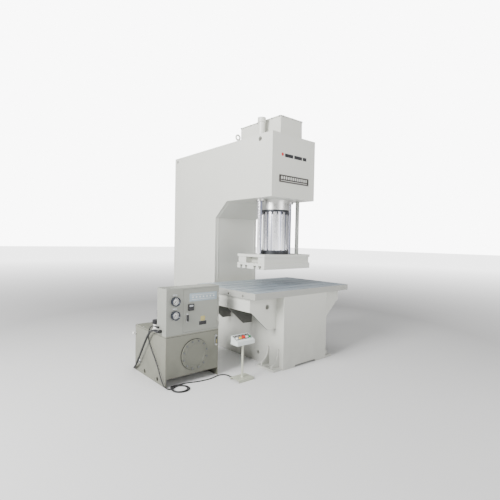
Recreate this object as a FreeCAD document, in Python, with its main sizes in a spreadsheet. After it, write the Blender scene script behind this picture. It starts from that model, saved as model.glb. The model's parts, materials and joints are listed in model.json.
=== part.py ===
"""Hydraulic C-frame press with its power unit and its button pedestal, in millimetres.

+Z is up, +X is to the operator's left-to-right, and the operator stands at -Y. The origin is on the
floor at the middle of the welded frame's base, which is also the middle of its anchor bolts.
"""

import math
import os
import re

import FreeCAD
import Part
import Sketcher
from FreeCAD import Placement, Rotation, Vector

doc = FreeCAD.newDocument("HydraulicPress")
nodes = []

# ---------------------------------------------------------------- driving dimensions

SIZES = {
    "frame": {
        "frame_width": 800, "frame_depth": 2625, "frame_height": 2880, "side_thick": 50,
        "column_depth": 1200, "throat_depth": 828, "head_nose": 340, "head_height": 800,
        "chamfer_run": 262, "chamfer_rise": 223, "plate_thick": 40, "bottom_thick": 80,
        "base_thick": 25, "notch_half": 190, "notch_depth": 300, "stiffener_hole": 130,
        "upper_stiffener_z": 2080, "middle_stiffener_z": 1480, "bed_rib_gap": 420,
        "crane_eye_front": 30, "crane_eye_rear": 22.5, "crane_eye_drop": 60,
        "crane_eye_front_inset": 228, "crane_eye_rear_inset": 86, "jaw_hole_height": 116,
        "jaw_hole_inset": 445, "prefill_hole": 62, "weld_gap": 0.3,
    },
    "feet": {
        "foot_width": 141, "foot_length": 300, "foot_inset": 14, "gusset_thick": 20,
        "gusset_spacing": 170, "gusset_height": 215, "gusset_land": 20, "gusset_curve": 172,
        "curve_out": 190, "curve_up": 215, "anchor_hole": 21, "anchor_out": 82,
    },
    "table": {
        "table_width": 1726, "table_depth": 1160, "table_thick": 75, "table_top_height": 947,
        "slot_mouth": 28, "slot_foot": 50, "slot_lip": 24, "slot_foot_height": 20,
        "slot_pitch": 200, "slot_count": 5, "slot_end": 25, "table_eye": 14, "table_eye_deep": 60,
        "table_eye_drop": 25, "table_eye_front": 214, "table_eye_pitch": 266,
    },
    "wings": {
        "wing_reach": 825, "rail_thick": 25, "rail_height": 160, "rib_thick": 25,
        "rib_knee": 540, "rib_drop": 392, "rib_front_inset": 132, "rib_pitch": 440,
        "rib_hole": 30, "rib_hole_reach": 548, "rib_hole_drop": 122, "rib_count": 3,
    },
    "cylinder": {
        "ram_radius": 170, "bore_radius": 190, "barrel_radius": 230, "neck_radius": 205,
        "gland_radius": 190, "gland_drop": 135, "running_fit": 0.05, "soft_gap": 0.3,
        "piston_height": 60, "travel_down": 180, "travel_up": 370, "end_room": 6,
        "wiper_radius": 188, "wiper_height": 26, "gland_bolt": 8, "gland_bolt_head": 34,
        "gland_bolt_count": 16, "port_radius": 50,
    },
    "guides": {
        "rod_radius": 31, "rod_spread": 278, "bush_radius": 48, "bush_flange": 57,
        "bush_flange_thick": 27, "bush_above": 120, "rod_top_height": 2420,
        "trip_radius": 27, "trip_side": 311, "trip_front": 123, "trip_top_height": 2405,
        "trip_hole": 31, "dog_radius": 33, "dog_height": 46, "sensor_radius": 9,
        "sensor_length": 62, "sensor_gap": 4, "sensor_low": 2240, "sensor_high": 2620,
        "sensor_plate": 8, "sensor_plate_width": 40, "sensor_plate_side": 250,
    },
    "slide": {
        "slide_width": 860, "slide_depth": 530, "slide_bottom_height": 1168,
        "slide_height": 188, "slide_top_thick": 33, "slide_low_thick": 75,
        "slide_web": 36, "front_beam": 130, "rear_beam": 165, "web_inset": 12,
        "slide_slot_near": 85, "slide_slot_far": 184, "flange_width": 20,
        "flange_height": 50, "flange_bolt": 6, "flange_bolt_head": 12, "flange_bolt_count": 12,
    },
    "prefill": {
        "box_width": 402, "box_depth": 795, "box_height": 247, "box_wall": 8, "box_shift": 123,
        "lid_over": 6, "lid_thick": 12, "breather_radius": 45, "breather_height": 247,
        "breather_side": 290, "breather_front": 15, "breather_cap": 54, "breather_cap_high": 60,
    },
    "unit": {
        "unit_left": 1740, "unit_front": 940, "tank_width": 660, "tank_depth": 735,
        "tank_height": 515, "tank_clear": 85, "tank_wall": 6, "skirt_thick": 10,
        "skirt_hole": 22, "skirt_hole_up": 45, "skirt_hole_front": 180, "skirt_hole_rear": 250,
        "cover_thick": 14, "door_hole": 130, "manhole_radius": 165, "manhole_thick": 18,
        "manhole_side": 346, "manhole_height": 292, "manhole_bolt": 9, "manhole_bolt_head": 12,
        "manhole_bolt_count": 12, "manhole_bolt_ring": 147,
    },
    "cabinet": {
        "cabinet_depth": 198, "cabinet_height": 491, "cabinet_wall": 3, "gauge_strip": 197,
        "door_gap": 2, "door_thick": 20, "door_sheet": 2.5, "door_lip": 14, "hinge_radius": 5,
        "hinge_out": 8, "knuckle_gap": 0.3, "hinge_length": 50, "hinge_inset": 70, "lock_radius": 8,
        "lock_in": 52, "lock_height": 168, "handle_length": 70, "handle_width": 18,
        "handle_thick": 12, "handle_out": 10, "gauge_radius": 48, "gauge_depth": 34,
        "gauge_side": 100, "gauge_low": 211, "gauge_high": 356, "gauge_wall": 4,
        "gauge_back": 12, "needle_length": 34, "needle_width": 4, "needle_thick": 1.5,
        "needle_pin": 2, "needle_lift": 4,
    },
    "drive": {
        "motor_radius": 105, "motor_length": 262, "motor_wall": 8, "motor_side": 340,
        "motor_back": 470, "motor_height": 150, "shaft_radius": 19, "rotor_radius": 62,
        "air_gap": 1, "fan_radius": 88, "fan_thick": 20, "fan_room": 40, "bell_length": 70,
        "bell_radius": 80, "bell_bore": 52, "coupling_radius": 38, "pump_radius": 58,
        "pump_length": 110, "pump_drive": 12, "drive_deep": 24, "block_width": 150,
        "block_depth": 120, "block_height": 120, "block_side": 330, "block_back": 212,
        "valve_height": 48, "valve_length": 210, "valve_width": 50, "motor_foot": 30,
        "terminal_width": 90, "terminal_height": 45, "filler_neck": 27, "filler_height": 111,
        "filler_cap": 38, "filler_cap_height": 42, "filler_side": 65, "filler_back": 350,
    },
    "pedestal": {
        "stand_side": 956, "stand_front": 1228, "stand_width": 212, "stand_depth": 150,
        "stand_height": 30, "stand_sheet": 5, "post_radius": 12, "console_width": 240,
        "console_depth": 120, "console_low": 398, "console_front": 44, "console_back": 92,
        "console_wall": 3, "button_pitch": 44, "button_radius": 13, "button_high": 12,
        "button_deep": 14, "button_flange": 2.5, "button_up": 58, "mushroom_radius": 19,
        "mushroom_lift": 7, "mushroom_high": 20,
    },
    "cords": {
        "control_radius": 6, "control_elbow": 9, "control_elbow_out": 16,
        "control_elbow_length": 30, "control_back": 150, "control_up": 76,
        "conduit_radius": 11, "conduit_elbow": 16, "conduit_elbow_out": 42,
        "conduit_elbow_length": 43, "conduit_back": 97, "conduit_up": 43,
        "coil_side": 1626, "coil_front": 1047, "coil_inner": 70, "coil_outer": 112,
        "coil_height": 24, "frame_port_y": 150, "frame_port_up": 70, "frame_port_radius": 17,
        "frame_port_length": 40, "stand_gland": 10, "stand_gland_length": 26,
        "stand_gland_side": 32, "stand_gland_up": 14,
    },
}

sheet = doc.addObject("Spreadsheet::Sheet", "Sizes")
size = {}
row = 1
for heading, entries in SIZES.items():
    sheet.set(f"A{row}", heading)
    row += 1
    for alias, value in entries.items():
        sheet.set(f"A{row}", alias)
        sheet.set(f"B{row}", str(value))
        sheet.setAlias(f"B{row}", alias)
        size[alias] = value
        row += 1
doc.recompute()

WORD = re.compile(r"[a-z][a-z_]*")

# Places that several pieces share, as expressions of the driving dimensions.
HALF = "(frame_width/2)"
INNER = "(frame_width/2 - side_thick)"
FRONT = "(-frame_depth/2)"
REAR = "(frame_depth/2)"
COLUMN_Y = "(frame_depth/2 - column_depth)"
RAM_Y = "(frame_depth/2 - column_depth - throat_depth)"
HEAD_Y = f"({RAM_Y} - head_nose)"
HEAD_Z = "(frame_height - head_height)"
THROAT_Z = f"({HEAD_Z} - chamfer_rise)"
THROAT_Y = f"({COLUMN_Y} - chamfer_run)"
JAW_Z = "(table_top_height - table_thick)"
NECK_Z = f"({HEAD_Z} + bottom_thick)"
GLAND_Z = f"({HEAD_Z} - gland_drop)"
SLIDE_TOP = "(slide_bottom_height + slide_height)"
PISTON_Z = f"({NECK_Z} + travel_down + end_room)"
CAP_Z = f"({PISTON_Z} + piston_height + travel_up + end_room)"
BOX_Y = f"({RAM_Y} + box_shift)"
UNIT_X = "(-unit_left)"
UNIT_Y = "(-unit_front)"
DECK_Z = "(tank_height + cover_thick)"
CABINET_TOP = f"({DECK_Z} + cabinet_height)"
DOOR_X = "(gauge_strip - unit_left)"
DOOR_END = "(tank_width - unit_left - door_lip)"
GAUGE_X = "(gauge_side - unit_left)"
MOTOR_X = "(motor_side - unit_left)"
MOTOR_Y = "(motor_back - unit_front)"
MOTOR_Z = f"({DECK_Z} + motor_height)"
STAND_X = "(-stand_side)"
STAND_Y = "(-stand_front)"
NEEDLE_REST = 45
TILT = "atan((console_back - console_front)/console_depth)"


def expr(text):
    """Turns the words of an expression into references to the sheet's aliases."""
    return WORD.sub(lambda m: "Sizes." + m.group(0) if m.group(0) in size else m.group(0), str(text))


def number(text):
    """The present value of an expression, worked out in a spare cell of the sheet."""
    sheet.set("D1", f"={text}")
    sheet.recompute()
    return float(sheet.get("D1"))


def bind(obj, prop, text):
    """Binds a property of an object to the driving dimensions."""
    obj.setExpression(prop, expr(text))
    return obj


def place(obj, x=0, y=0, z=0):
    """Binds an object's place."""
    for axis, text in zip("xyz", (x, y, z)):
        bind(obj, f"Placement.Base.{axis}", text)
    return obj


def box(name, x, y, z):
    """A block between pairs of expressions for each axis."""
    obj = doc.addObject("Part::Box", name)
    for prop, (low, high) in zip(("Length", "Width", "Height"), (x, y, z)):
        bind(obj, prop, f"({high}) - ({low})")
    return place(obj, x[0], y[0], z[0])


TURNS = {
    "z": Rotation(),
    "x": Rotation(Vector(0, 1, 0), 90),
    "y": Rotation(Vector(1, 0, 0), -90),
}


def rod(name, radius, length, x=0, y=0, z=0, axis="z"):
    """A round bar that starts at a point and runs along +X, +Y or +Z."""
    obj = doc.addObject("Part::Cylinder", name)
    obj.Placement = Placement(Vector(), TURNS[axis])
    bind(obj, "Radius", radius)
    bind(obj, "Height", length)
    return place(obj, x, y, z)


def fuse(name, *parts):
    """One solid from several that touch."""
    obj = doc.addObject("Part::MultiFuse", name)
    obj.Shapes = list(parts)
    obj.Refine = True
    return obj


def cut(name, base, *tools):
    """A solid less some others."""
    obj = doc.addObject("Part::Cut", name)
    obj.Base = base
    obj.Tool = tools[0] if len(tools) == 1 else group(f"{name}_tools", *tools)
    return obj


def group(name, *parts):
    """Several separate solids in one object."""
    obj = doc.addObject("Part::Compound", name)
    obj.Links = list(parts)
    return obj


def node(obj, label):
    """Registers a finished sub-part: its label names its file."""
    obj.Label = label
    nodes.append(obj)
    return obj


def origin_plane(body, role):
    """One of a body's own origin planes or axes."""
    return next(f for f in body.Origin.OriginFeatures if f.Role == role)


def outline(sketch, points):
    """Closes a polygon through points whose places are bound to the driving dimensions."""
    values = [Vector(number(u), number(v), 0) for u, v in points]
    count = len(points)
    first = sketch.GeometryCount
    for i in range(count):
        sketch.addGeometry(Part.LineSegment(values[i], values[(i + 1) % count]), False)
    for i in range(count):
        here = first + i
        sketch.addConstraint(Sketcher.Constraint("Coincident", here, 2, first + (i + 1) % count, 1))
        for kind, text in (("DistanceX", points[i][0]), ("DistanceY", points[i][1])):
            row_at = sketch.addConstraint(Sketcher.Constraint(kind, -1, 1, here, 1, number(text)))
            bind(sketch, f"Constraints[{row_at}]", text)


def circle(sketch, u, v, radius):
    """A hole in a sketch."""
    centre = Vector(number(u), number(v), 0)
    at = sketch.addGeometry(Part.Circle(centre, Vector(0, 0, 1), number(radius)), False)
    for kind, text in (("DistanceX", u), ("DistanceY", v)):
        row_at = sketch.addConstraint(Sketcher.Constraint(kind, -1, 1, at, 3, number(text)))
        bind(sketch, f"Constraints[{row_at}]", text)
    row_at = sketch.addConstraint(Sketcher.Constraint("Radius", at, number(radius)))
    bind(sketch, f"Constraints[{row_at}]", radius)


def sketch_on(body, name, role, offset="0"):
    """A sketch on one of its body's origin planes, moved along the plane's normal."""
    sketch = body.newObject("Sketcher::SketchObject", name)
    sketch.AttachmentSupport = [(origin_plane(body, role), "")]
    sketch.MapMode = "FlatFace"
    bind(sketch, "AttachmentOffset.Base.z", offset)
    return sketch


def plate(name, role, offset, thick, points, holes=()):
    """A plate cut to an outline: a sketch on an origin plane, padded along its normal."""
    body = doc.addObject("PartDesign::Body", name)
    sketch = sketch_on(body, f"{name}_outline", role, offset)
    outline(sketch, points)
    for u, v, radius in holes:
        circle(sketch, u, v, radius)
    pad = body.newObject("PartDesign::Pad", f"{name}_pad")
    pad.Profile = sketch
    bind(pad, "Length", thick)
    sketch.Visibility = False
    return body


def turned(name, points, x="0", y="0", z="0", axis="z"):
    """A turned piece: its half profile, as radius and height, revolved about its axis."""
    body = doc.addObject("PartDesign::Body", name)
    sketch = sketch_on(body, f"{name}_profile", "XZ_Plane")
    outline(sketch, points)
    spin = body.newObject("PartDesign::Revolution", f"{name}_turn")
    spin.Profile = sketch
    spin.ReferenceAxis = (sketch, ["V_Axis"])
    spin.Angle = 360
    body.Placement = Placement(Vector(), TURNS[axis])
    return place(body, x, y, z)


def ring_of(name, make, count, radius, x, y):
    """Copies of a small piece, evenly round a vertical axis."""
    parts = []
    for i in range(count):
        turn = 360.0 * (i + 0.5) / count
        at_x = f"({x}) + ({radius})*cos({turn} deg)"
        at_y = f"({y}) + ({radius})*sin({turn} deg)"
        parts.append(make(f"{name}_{i}", at_x, at_y))
    return group(name, *parts)


# ---------------------------------------------------------------- welded C-frame


def side_plate(side, label):
    """A side of the C: one thick plate with the throat, two crane eyes and a low hole."""
    profile = [
        (FRONT, "0"), (REAR, "0"), (REAR, "frame_height"), (HEAD_Y, "frame_height"),
        (HEAD_Y, HEAD_Z), (THROAT_Y, HEAD_Z), (COLUMN_Y, THROAT_Z), (COLUMN_Y, JAW_Z),
        (FRONT, JAW_Z),
    ]
    eye_z = "frame_height - crane_eye_drop"
    holes = [
        (f"{HEAD_Y} + crane_eye_front_inset", eye_z, "crane_eye_front"),
        (f"{REAR} - crane_eye_rear_inset", eye_z, "crane_eye_rear"),
        (f"{FRONT} + jaw_hole_inset", "jaw_hole_height", "crane_eye_rear"),
    ]
    offset = INNER if side > 0 else f"-{HALF}"
    node(plate(label, "YZ_Plane", offset, "side_thick", profile, holes), label)


def frame_plates():
    """The plates between the two sides: head, throat, column, jaw and base."""
    across = (f"-{INNER}", INNER)
    front_y = f"{HEAD_Y} + plate_thick"
    node(box("head_front_plate", across, (HEAD_Y, front_y), (HEAD_Z, "frame_height")), "head_front_plate")

    bottom = box("head_bottom_block", across, (front_y, THROAT_Y), (HEAD_Z, NECK_Z))
    tools = [rod("neck_hole", "neck_radius + weld_gap", "bottom_thick", 0, RAM_Y, HEAD_Z)]
    for side in (-1, 1):
        x = f"{side}*rod_spread"
        tools.append(rod("bush_hole", "bush_radius + weld_gap", "bottom_thick", x, RAM_Y, HEAD_Z))
    trip_y = f"{RAM_Y} - trip_front"
    tools.append(rod("trip_hole", "trip_hole", "bottom_thick", "trip_side", trip_y, HEAD_Z))
    node(cut("head_bottom_plate", bottom, *tools), "head_bottom_plate")

    top_z = "frame_height - plate_thick"
    top = box("head_top_block", across, (front_y, f"{REAR} - plate_thick"), (top_z, "frame_height"))
    hole = rod("prefill_hole", "prefill_hole", "plate_thick", 0, RAM_Y, top_z)
    node(cut("head_top_plate", top, hole), "head_top_plate")

    slope = [
        (THROAT_Y, HEAD_Z), (COLUMN_Y, THROAT_Z), (f"{COLUMN_Y} + plate_thick", THROAT_Z),
        (THROAT_Y, NECK_Z),
    ]
    width = f"2*{INNER}"
    node(plate("throat_chamfer_plate", "YZ_Plane", f"-{INNER}", width, slope), "throat_chamfer_plate")

    y = (COLUMN_Y, f"{COLUMN_Y} + plate_thick")
    node(box("column_front_plate", across, y, ("base_thick", THROAT_Z)), "column_front_plate")
    y = (f"{REAR} - plate_thick", REAR)
    node(box("column_rear_plate", across, y, ("base_thick", "frame_height")), "column_rear_plate")
    z = ("base_thick", JAW_Z)
    node(box("jaw_front_panel", across, (FRONT, f"{FRONT} + plate_thick"), z), "jaw_front_panel")
    z = (f"{JAW_Z} - plate_thick", JAW_Z)
    node(box("jaw_top_plate", across, (f"{FRONT} + plate_thick", COLUMN_Y), z), "jaw_top_plate")

    notch_y = f"{FRONT} + notch_depth"
    base = [
        (f"-{INNER}", FRONT), ("-notch_half", FRONT), ("-notch_half", notch_y),
        ("notch_half", notch_y), ("notch_half", FRONT), (INNER, FRONT), (INNER, REAR),
        (f"-{INNER}", REAR),
    ]
    node(plate("base_plate", "XY_Plane", "0", "base_thick", base), "base_plate")


def stiffeners():
    """Plates inside the column and under the table, each with a hole to save weight."""
    across = (f"-{INNER}", INNER)
    column_y = (f"{COLUMN_Y} + plate_thick", f"{REAR} - plate_thick")
    mid_y = "(frame_depth/2 - column_depth/2)"
    parts = []
    for i, z in enumerate(("upper_stiffener_z", "middle_stiffener_z", f"{JAW_Z} - plate_thick")):
        slab = box(f"shelf_{i}", across, column_y, (z, f"{z} + plate_thick"))
        hole = rod(f"shelf_hole_{i}", "stiffener_hole", "plate_thick", 0, mid_y, z)
        parts.append(cut(f"column_shelf_{i}", slab, hole))
    top = f"{JAW_Z} - plate_thick"
    for i, sign in enumerate((-1, 1)):
        y = f"{RAM_Y} + {sign}*bed_rib_gap/2 - plate_thick/2"
        slab = box(f"rib_{i}", across, (y, f"{y} + plate_thick"), ("base_thick", top))
        hole = rod(f"rib_hole_{i}", "stiffener_hole", "plate_thick", 0, y, f"({top})/2", "y")
        parts.append(cut(f"bed_rib_{i}", slab, hole))
    node(group("inner_stiffener_plates", *parts), "inner_stiffener_plates")


def foot(name, side, end):
    """An anchor chair: a pad outside the side plate with two hollowed gussets over it."""
    edge = f"{side}*{HALF}"
    low, high = (edge, f"{edge} + foot_width") if side > 0 else (f"{edge} - foot_width", edge)
    start = f"{FRONT} + foot_inset" if end < 0 else f"{REAR} - foot_inset - foot_length"
    middle = f"{start} + foot_length/2"
    pad = box(f"{name}_pad", (low, high), (start, f"{start} + foot_length"), ("0", "base_thick"))
    reach = "foot_width - gusset_land"
    span = (edge, f"{edge} + {reach}") if side > 0 else (f"{edge} - ({reach})", edge)
    parts = [pad]
    for i, sign in enumerate((-1, 1)):
        y = f"{middle} + {sign}*gusset_spacing/2 - gusset_thick/2"
        z = ("base_thick", "base_thick + gusset_height")
        parts.append(box(f"{name}_gusset_{i}", span, (y, f"{y} + gusset_thick"), z))
    welded = fuse(f"{name}_welded", *parts)
    curve_x = f"{edge} + {side}*curve_out"
    hollow_y = f"{middle} - foot_length/2"
    hollow = rod(f"{name}_hollow", "gusset_curve", "foot_length", curve_x, hollow_y, "curve_up", "y")
    x = f"{edge} + {side}*anchor_out"
    bolt = rod(f"{name}_bolt_hole", "anchor_hole", "base_thick", x, middle, "0")
    return cut(name, welded, hollow, bolt)


def anchor_feet():
    """Four anchor chairs, one at each corner of the frame."""
    corners = [("left", -1), ("right", 1)]
    ends = [("front", -1), ("rear", 1)]
    feet = [foot(f"foot_{e}_{c}", side, end) for e, end in ends for c, side in corners]
    node(group("anchor_feet", *feet), "anchor_feet")


def table_wing(side, label):
    """A bracket that carries the table's overhang: three ribs and a rail under the edge."""
    parts = []
    floor = f"{JAW_Z} - rib_drop"
    rail = f"{JAW_Z} - rail_height"
    inner_rail = "wing_reach - rail_thick"
    for i in range(int(size["rib_count"])):
        y = f"{FRONT} + rib_front_inset + {i}*rib_pitch"
        profile = [
            (f"{side}*{HALF}", floor), (f"{side}*rib_knee", floor), (f"{side}*({inner_rail})", rail),
            (f"{side}*({inner_rail})", JAW_Z), (f"{side}*{HALF}", JAW_Z),
        ]
        eye = (f"{side}*rib_hole_reach", f"{JAW_Z} - rib_hole_drop", "rib_hole")
        offset = f"-({y} + rib_thick)"
        parts.append(plate(f"{label}_rib_{i}", "XZ_Plane", offset, "rib_thick", profile, [eye]))
    x = (inner_rail, "wing_reach") if side > 0 else ("-wing_reach", f"-({inner_rail})")
    last = f"{FRONT} + rib_front_inset + {size['rib_count'] - 1}*rib_pitch + rib_thick"
    parts.append(box(f"{label}_rail", x, (f"{FRONT} + rib_front_inset", last), (rail, JAW_Z)))
    node(fuse(label, *parts), label)


def t_slots(body, name, top, y, long, first="0", pitch="0", count=1, flip=1):
    """A T-slot of the given length along X, cut into a flat face, and its copies along Y."""
    sketch = sketch_on(body, f"{name}_shape", "YZ_Plane")
    lip = f"({top}) - {flip}*slot_lip"
    floor = f"({lip}) - {flip}*slot_foot_height"
    mouth, half_foot = "slot_mouth/2", "slot_foot/2"
    at = f"(({y}) + ({first}))"
    outline(sketch, [
        (f"{at} - {mouth}", top), (f"{at} - {mouth}", lip), (f"{at} - {half_foot}", lip),
        (f"{at} - {half_foot}", floor), (f"{at} + {half_foot}", floor), (f"{at} + {half_foot}", lip),
        (f"{at} + {mouth}", lip), (f"{at} + {mouth}", top),
    ])
    slot = body.newObject("PartDesign::Pocket", f"{name}_pocket")
    slot.Profile = sketch
    slot.Midplane = True
    bind(slot, "Length", long)
    if count > 1:
        copies = body.newObject("PartDesign::LinearPattern", f"{name}_copies")
        copies.Originals = [slot]
        copies.Direction = (origin_plane(body, "Y_Axis"), [""])
        copies.Occurrences = count
        bind(copies, "Length", f"({count} - 1)*({pitch})")
        body.Tip = copies
    return body


def work_table():
    """The bolster table: a slab with five T-slots along X and crane eyes in its ends."""
    left, right = "(-table_width/2)", "(table_width/2)"
    y0, y1 = FRONT, f"({FRONT} + table_depth)"
    corners = [(left, y0), (right, y0), (right, y1), (left, y1)]
    slab = plate("table_slab", "XY_Plane", JAW_Z, "table_thick", corners)
    count = int(size["slot_count"])
    first = f"-({count} - 1)*slot_pitch/2"
    middle, long = f"{FRONT} + table_depth/2", "table_width - 2*slot_end"
    t_slots(slab, "table_slot", "table_top_height", middle, long, first, "slot_pitch", count)
    tools = []
    for i in range(2):
        y = f"{FRONT} + table_eye_front + {i}*table_eye_pitch"
        z = f"{JAW_Z} + table_eye_drop"
        tools.append(rod("eye_left", "table_eye", "table_eye_deep", left, y, z, "x"))
        tools.append(rod("eye_right", "table_eye", "table_eye_deep", f"{right} - table_eye_deep", y, z, "x"))
    node(cut("work_table", slab, *tools), "work_table")


# ---------------------------------------------------------------- cylinder and head fittings


def cylinder():
    """Main cylinder: a barrel that stands on the head's bottom plate, and its closed end."""
    neck_bore = "ram_radius + soft_gap"
    profile = [
        (neck_bore, HEAD_Z), ("neck_radius", HEAD_Z), ("neck_radius", NECK_Z),
        ("barrel_radius", NECK_Z), ("barrel_radius", "frame_height - plate_thick"),
        ("port_radius", "frame_height - plate_thick"), ("port_radius", CAP_Z),
        ("bore_radius", CAP_Z), ("bore_radius", NECK_Z), (neck_bore, NECK_Z),
    ]
    node(turned("cylinder_barrel", profile, 0, RAM_Y, 0), "cylinder_barrel")

    fit = "ram_radius + running_fit"
    ring = [(fit, GLAND_Z), ("gland_radius", GLAND_Z), ("gland_radius", HEAD_Z), (fit, HEAD_Z)]
    node(turned("gland_ring", ring, 0, RAM_Y, 0), "gland_ring")

    low = f"{GLAND_Z} - wiper_height"
    inner = "ram_radius + soft_gap"
    wiper = [(inner, low), ("wiper_radius", low), ("wiper_radius", GLAND_Z), (inner, GLAND_Z)]
    node(turned("wiper_ring", wiper, 0, RAM_Y, 0), "wiper_ring")

    def bolt(name, x, y):
        return rod(name, "gland_bolt", "gland_bolt_head", x, y, f"{low} - gland_bolt_head")

    ring_radius = "(ram_radius + wiper_radius)/2 + soft_gap"
    count = int(size["gland_bolt_count"])
    node(ring_of("gland_bolts", bolt, count, ring_radius, "0", RAM_Y), "gland_bolts")


def guide_bushes():
    """Two flanged bushes in the head that the slide's guide rods run through."""
    parts = []
    fit = "rod_radius + running_fit"
    low = f"{HEAD_Z} - bush_flange_thick"
    top = f"{NECK_Z} + bush_above"
    profile = [
        (fit, low), ("bush_flange", low), ("bush_flange", HEAD_Z), ("bush_radius", HEAD_Z),
        ("bush_radius", top), (fit, top),
    ]
    for i, side in enumerate((-1, 1)):
        parts.append(turned(f"bush_{i}", profile, f"{side}*rod_spread", RAM_Y, 0))
    node(group("guide_bushes", *parts), "guide_bushes")


def prefill_tank():
    """The small oil box on the head: a floor, four walls and a lid, with a breather beside it."""
    x = ("-box_width/2", "box_width/2")
    y = (f"{BOX_Y} - box_depth/2", f"{BOX_Y} + box_depth/2")
    z = ("frame_height + box_wall", "frame_height + box_height - lid_thick")
    inside = (f"{y[0]} + box_wall", f"{y[1]} - box_wall")
    slab = box("prefill_slab", x, y, ("frame_height", z[0]))
    port = rod("prefill_port", "port_radius", "2*box_wall", 0, RAM_Y, "frame_height")
    walls = [
        box("prefill_front", x, (y[0], inside[0]), z),
        box("prefill_rear", x, (inside[1], y[1]), z),
        box("prefill_left", (x[0], f"{x[0]} + box_wall"), inside, z),
        box("prefill_right", (f"{x[1]} - box_wall", x[1]), inside, z),
    ]
    node(group("prefill_tank", cut("prefill_floor", slab, port), *walls), "prefill_tank")
    over_x = ("-box_width/2 - lid_over", "box_width/2 + lid_over")
    over_y = (f"{BOX_Y} - box_depth/2 - lid_over", f"{BOX_Y} + box_depth/2 + lid_over")
    over_z = ("frame_height + box_height - lid_thick", "frame_height + box_height")
    node(box("prefill_tank_lid", over_x, over_y, over_z), "prefill_tank_lid")

    neck = "breather_height - breather_cap_high"
    profile = [
        ("0", "0"), ("breather_radius", "0"), ("breather_radius", neck), ("breather_cap", neck),
        ("breather_cap", "breather_height"), ("0", "breather_height"),
    ]
    spot_y = f"{RAM_Y} - breather_front"
    node(turned("head_breather", profile, "-breather_side", spot_y, "frame_height"), "head_breather")


# ---------------------------------------------------------------- ram and slide


def ram():
    """The chromed ram and its piston, turned from one forging."""
    low = f"{SLIDE_TOP}"
    fit = "bore_radius - running_fit"
    top = f"{PISTON_Z} + piston_height"
    profile = [
        ("0", low), ("ram_radius", low), ("ram_radius", PISTON_Z), (fit, PISTON_Z), (fit, top), ("0", top),
    ]
    node(turned("ram", profile, 0, RAM_Y, 0), "ram")


def slide():
    """The slide: a welded top plate, two beams and a thick bottom plate with T-slots."""
    left, right = "(-slide_width/2)", "(slide_width/2)"
    y0, y1 = f"({RAM_Y} - slide_depth/2)", f"({RAM_Y} + slide_depth/2)"
    corners = [(left, y0), (right, y0), (right, y1), (left, y1)]
    low = plate("slide_low", "XY_Plane", "slide_bottom_height", "slide_low_thick", corners)
    bottom, long = "slide_bottom_height", "2*slide_width"
    near, far = "2*slide_slot_near", "2*slide_slot_far"
    t_slots(low, "slide_slot_near", bottom, RAM_Y, long, "-slide_slot_near", near, 2, flip=-1)
    t_slots(low, "slide_slot_far", bottom, RAM_Y, long, "-slide_slot_far", far, 2, flip=-1)
    z = ("slide_bottom_height + slide_low_thick", f"{SLIDE_TOP} - slide_top_thick")
    top = box("slide_top", (left, right), (y0, y1), (z[1], SLIDE_TOP))
    x = (f"{left} + web_inset", f"{right} - web_inset")
    front = box("slide_front_beam", x, (f"{y0} + web_inset", f"{y0} + front_beam"), z)
    rear = box("slide_rear_beam", x, (f"{y1} - rear_beam", f"{y1} - web_inset"), z)
    hub = rod("slide_hub", "ram_radius", f"({z[1]}) - ({z[0]})", 0, RAM_Y, z[0])
    webs = []
    for i, side in enumerate((-1, 1)):
        at = f"{side}*rod_spread"
        span = (f"{at} - slide_web", f"{at} + slide_web")
        webs.append(box(f"slide_web_{i}", span, (f"{y0} + front_beam", f"{y1} - rear_beam"), z))
    node(fuse("slide", low, top, front, rear, hub, *webs), "slide")

    ring_low = SLIDE_TOP
    inner = "ram_radius + weld_gap"
    outer = "(ram_radius + weld_gap + flange_width)"
    ring_top = f"{SLIDE_TOP} + flange_height"
    profile = [(inner, ring_low), (outer, ring_low), (outer, ring_top), (inner, ring_top)]
    node(turned("ram_flange", profile, 0, RAM_Y, 0), "ram_flange")

    def bolt(name, x, y):
        return rod(name, "flange_bolt", "flange_bolt_head", x, y, ring_top)

    count = int(size["flange_bolt_count"])
    ring = "ram_radius + weld_gap + flange_width/2"
    node(ring_of("ram_flange_bolts", bolt, count, ring, "0", RAM_Y), "ram_flange_bolts")


def guide_rods():
    """Two chromed guide rods and a grey trip rod that stand on the slide."""
    for side, label in ((-1, "guide_rod_left"), (1, "guide_rod_right")):
        x = f"{side}*rod_spread"
        node(rod(label, "rod_radius", f"rod_top_height - {SLIDE_TOP}", x, RAM_Y, SLIDE_TOP), label)
    y = f"{RAM_Y} - trip_front"
    stem = rod("trip_stem", "trip_radius", f"trip_top_height - {SLIDE_TOP}", "trip_side", y, SLIDE_TOP)
    dog = rod("trip_dog", "dog_radius", "dog_height", "trip_side", y, "trip_top_height - dog_height")
    node(fuse("trip_rod", stem, dog), "trip_rod")


def travel_sensors():
    """Two proximity sensors on an upright strip in the head, which the trip rod's dog passes."""
    y = f"{RAM_Y} - trip_front"
    strip_y = (f"{y} - sensor_plate_width/2", f"{y} + sensor_plate_width/2")
    strip_x = ("sensor_plate_side", "sensor_plate_side + sensor_plate")
    strip = box("sensor_strip", strip_x, strip_y, (NECK_Z, "sensor_high + sensor_plate_width"))
    face = "trip_side - dog_radius - sensor_gap"
    parts = [strip]
    for i, z in enumerate(("sensor_low", "sensor_high")):
        start = f"({face}) - sensor_length"
        parts.append(rod(f"sensor_{i}", "sensor_radius", "sensor_length", start, y, z, "x"))
    node(fuse("travel_sensors", *parts), "travel_sensors")


# ---------------------------------------------------------------- power unit


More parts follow.
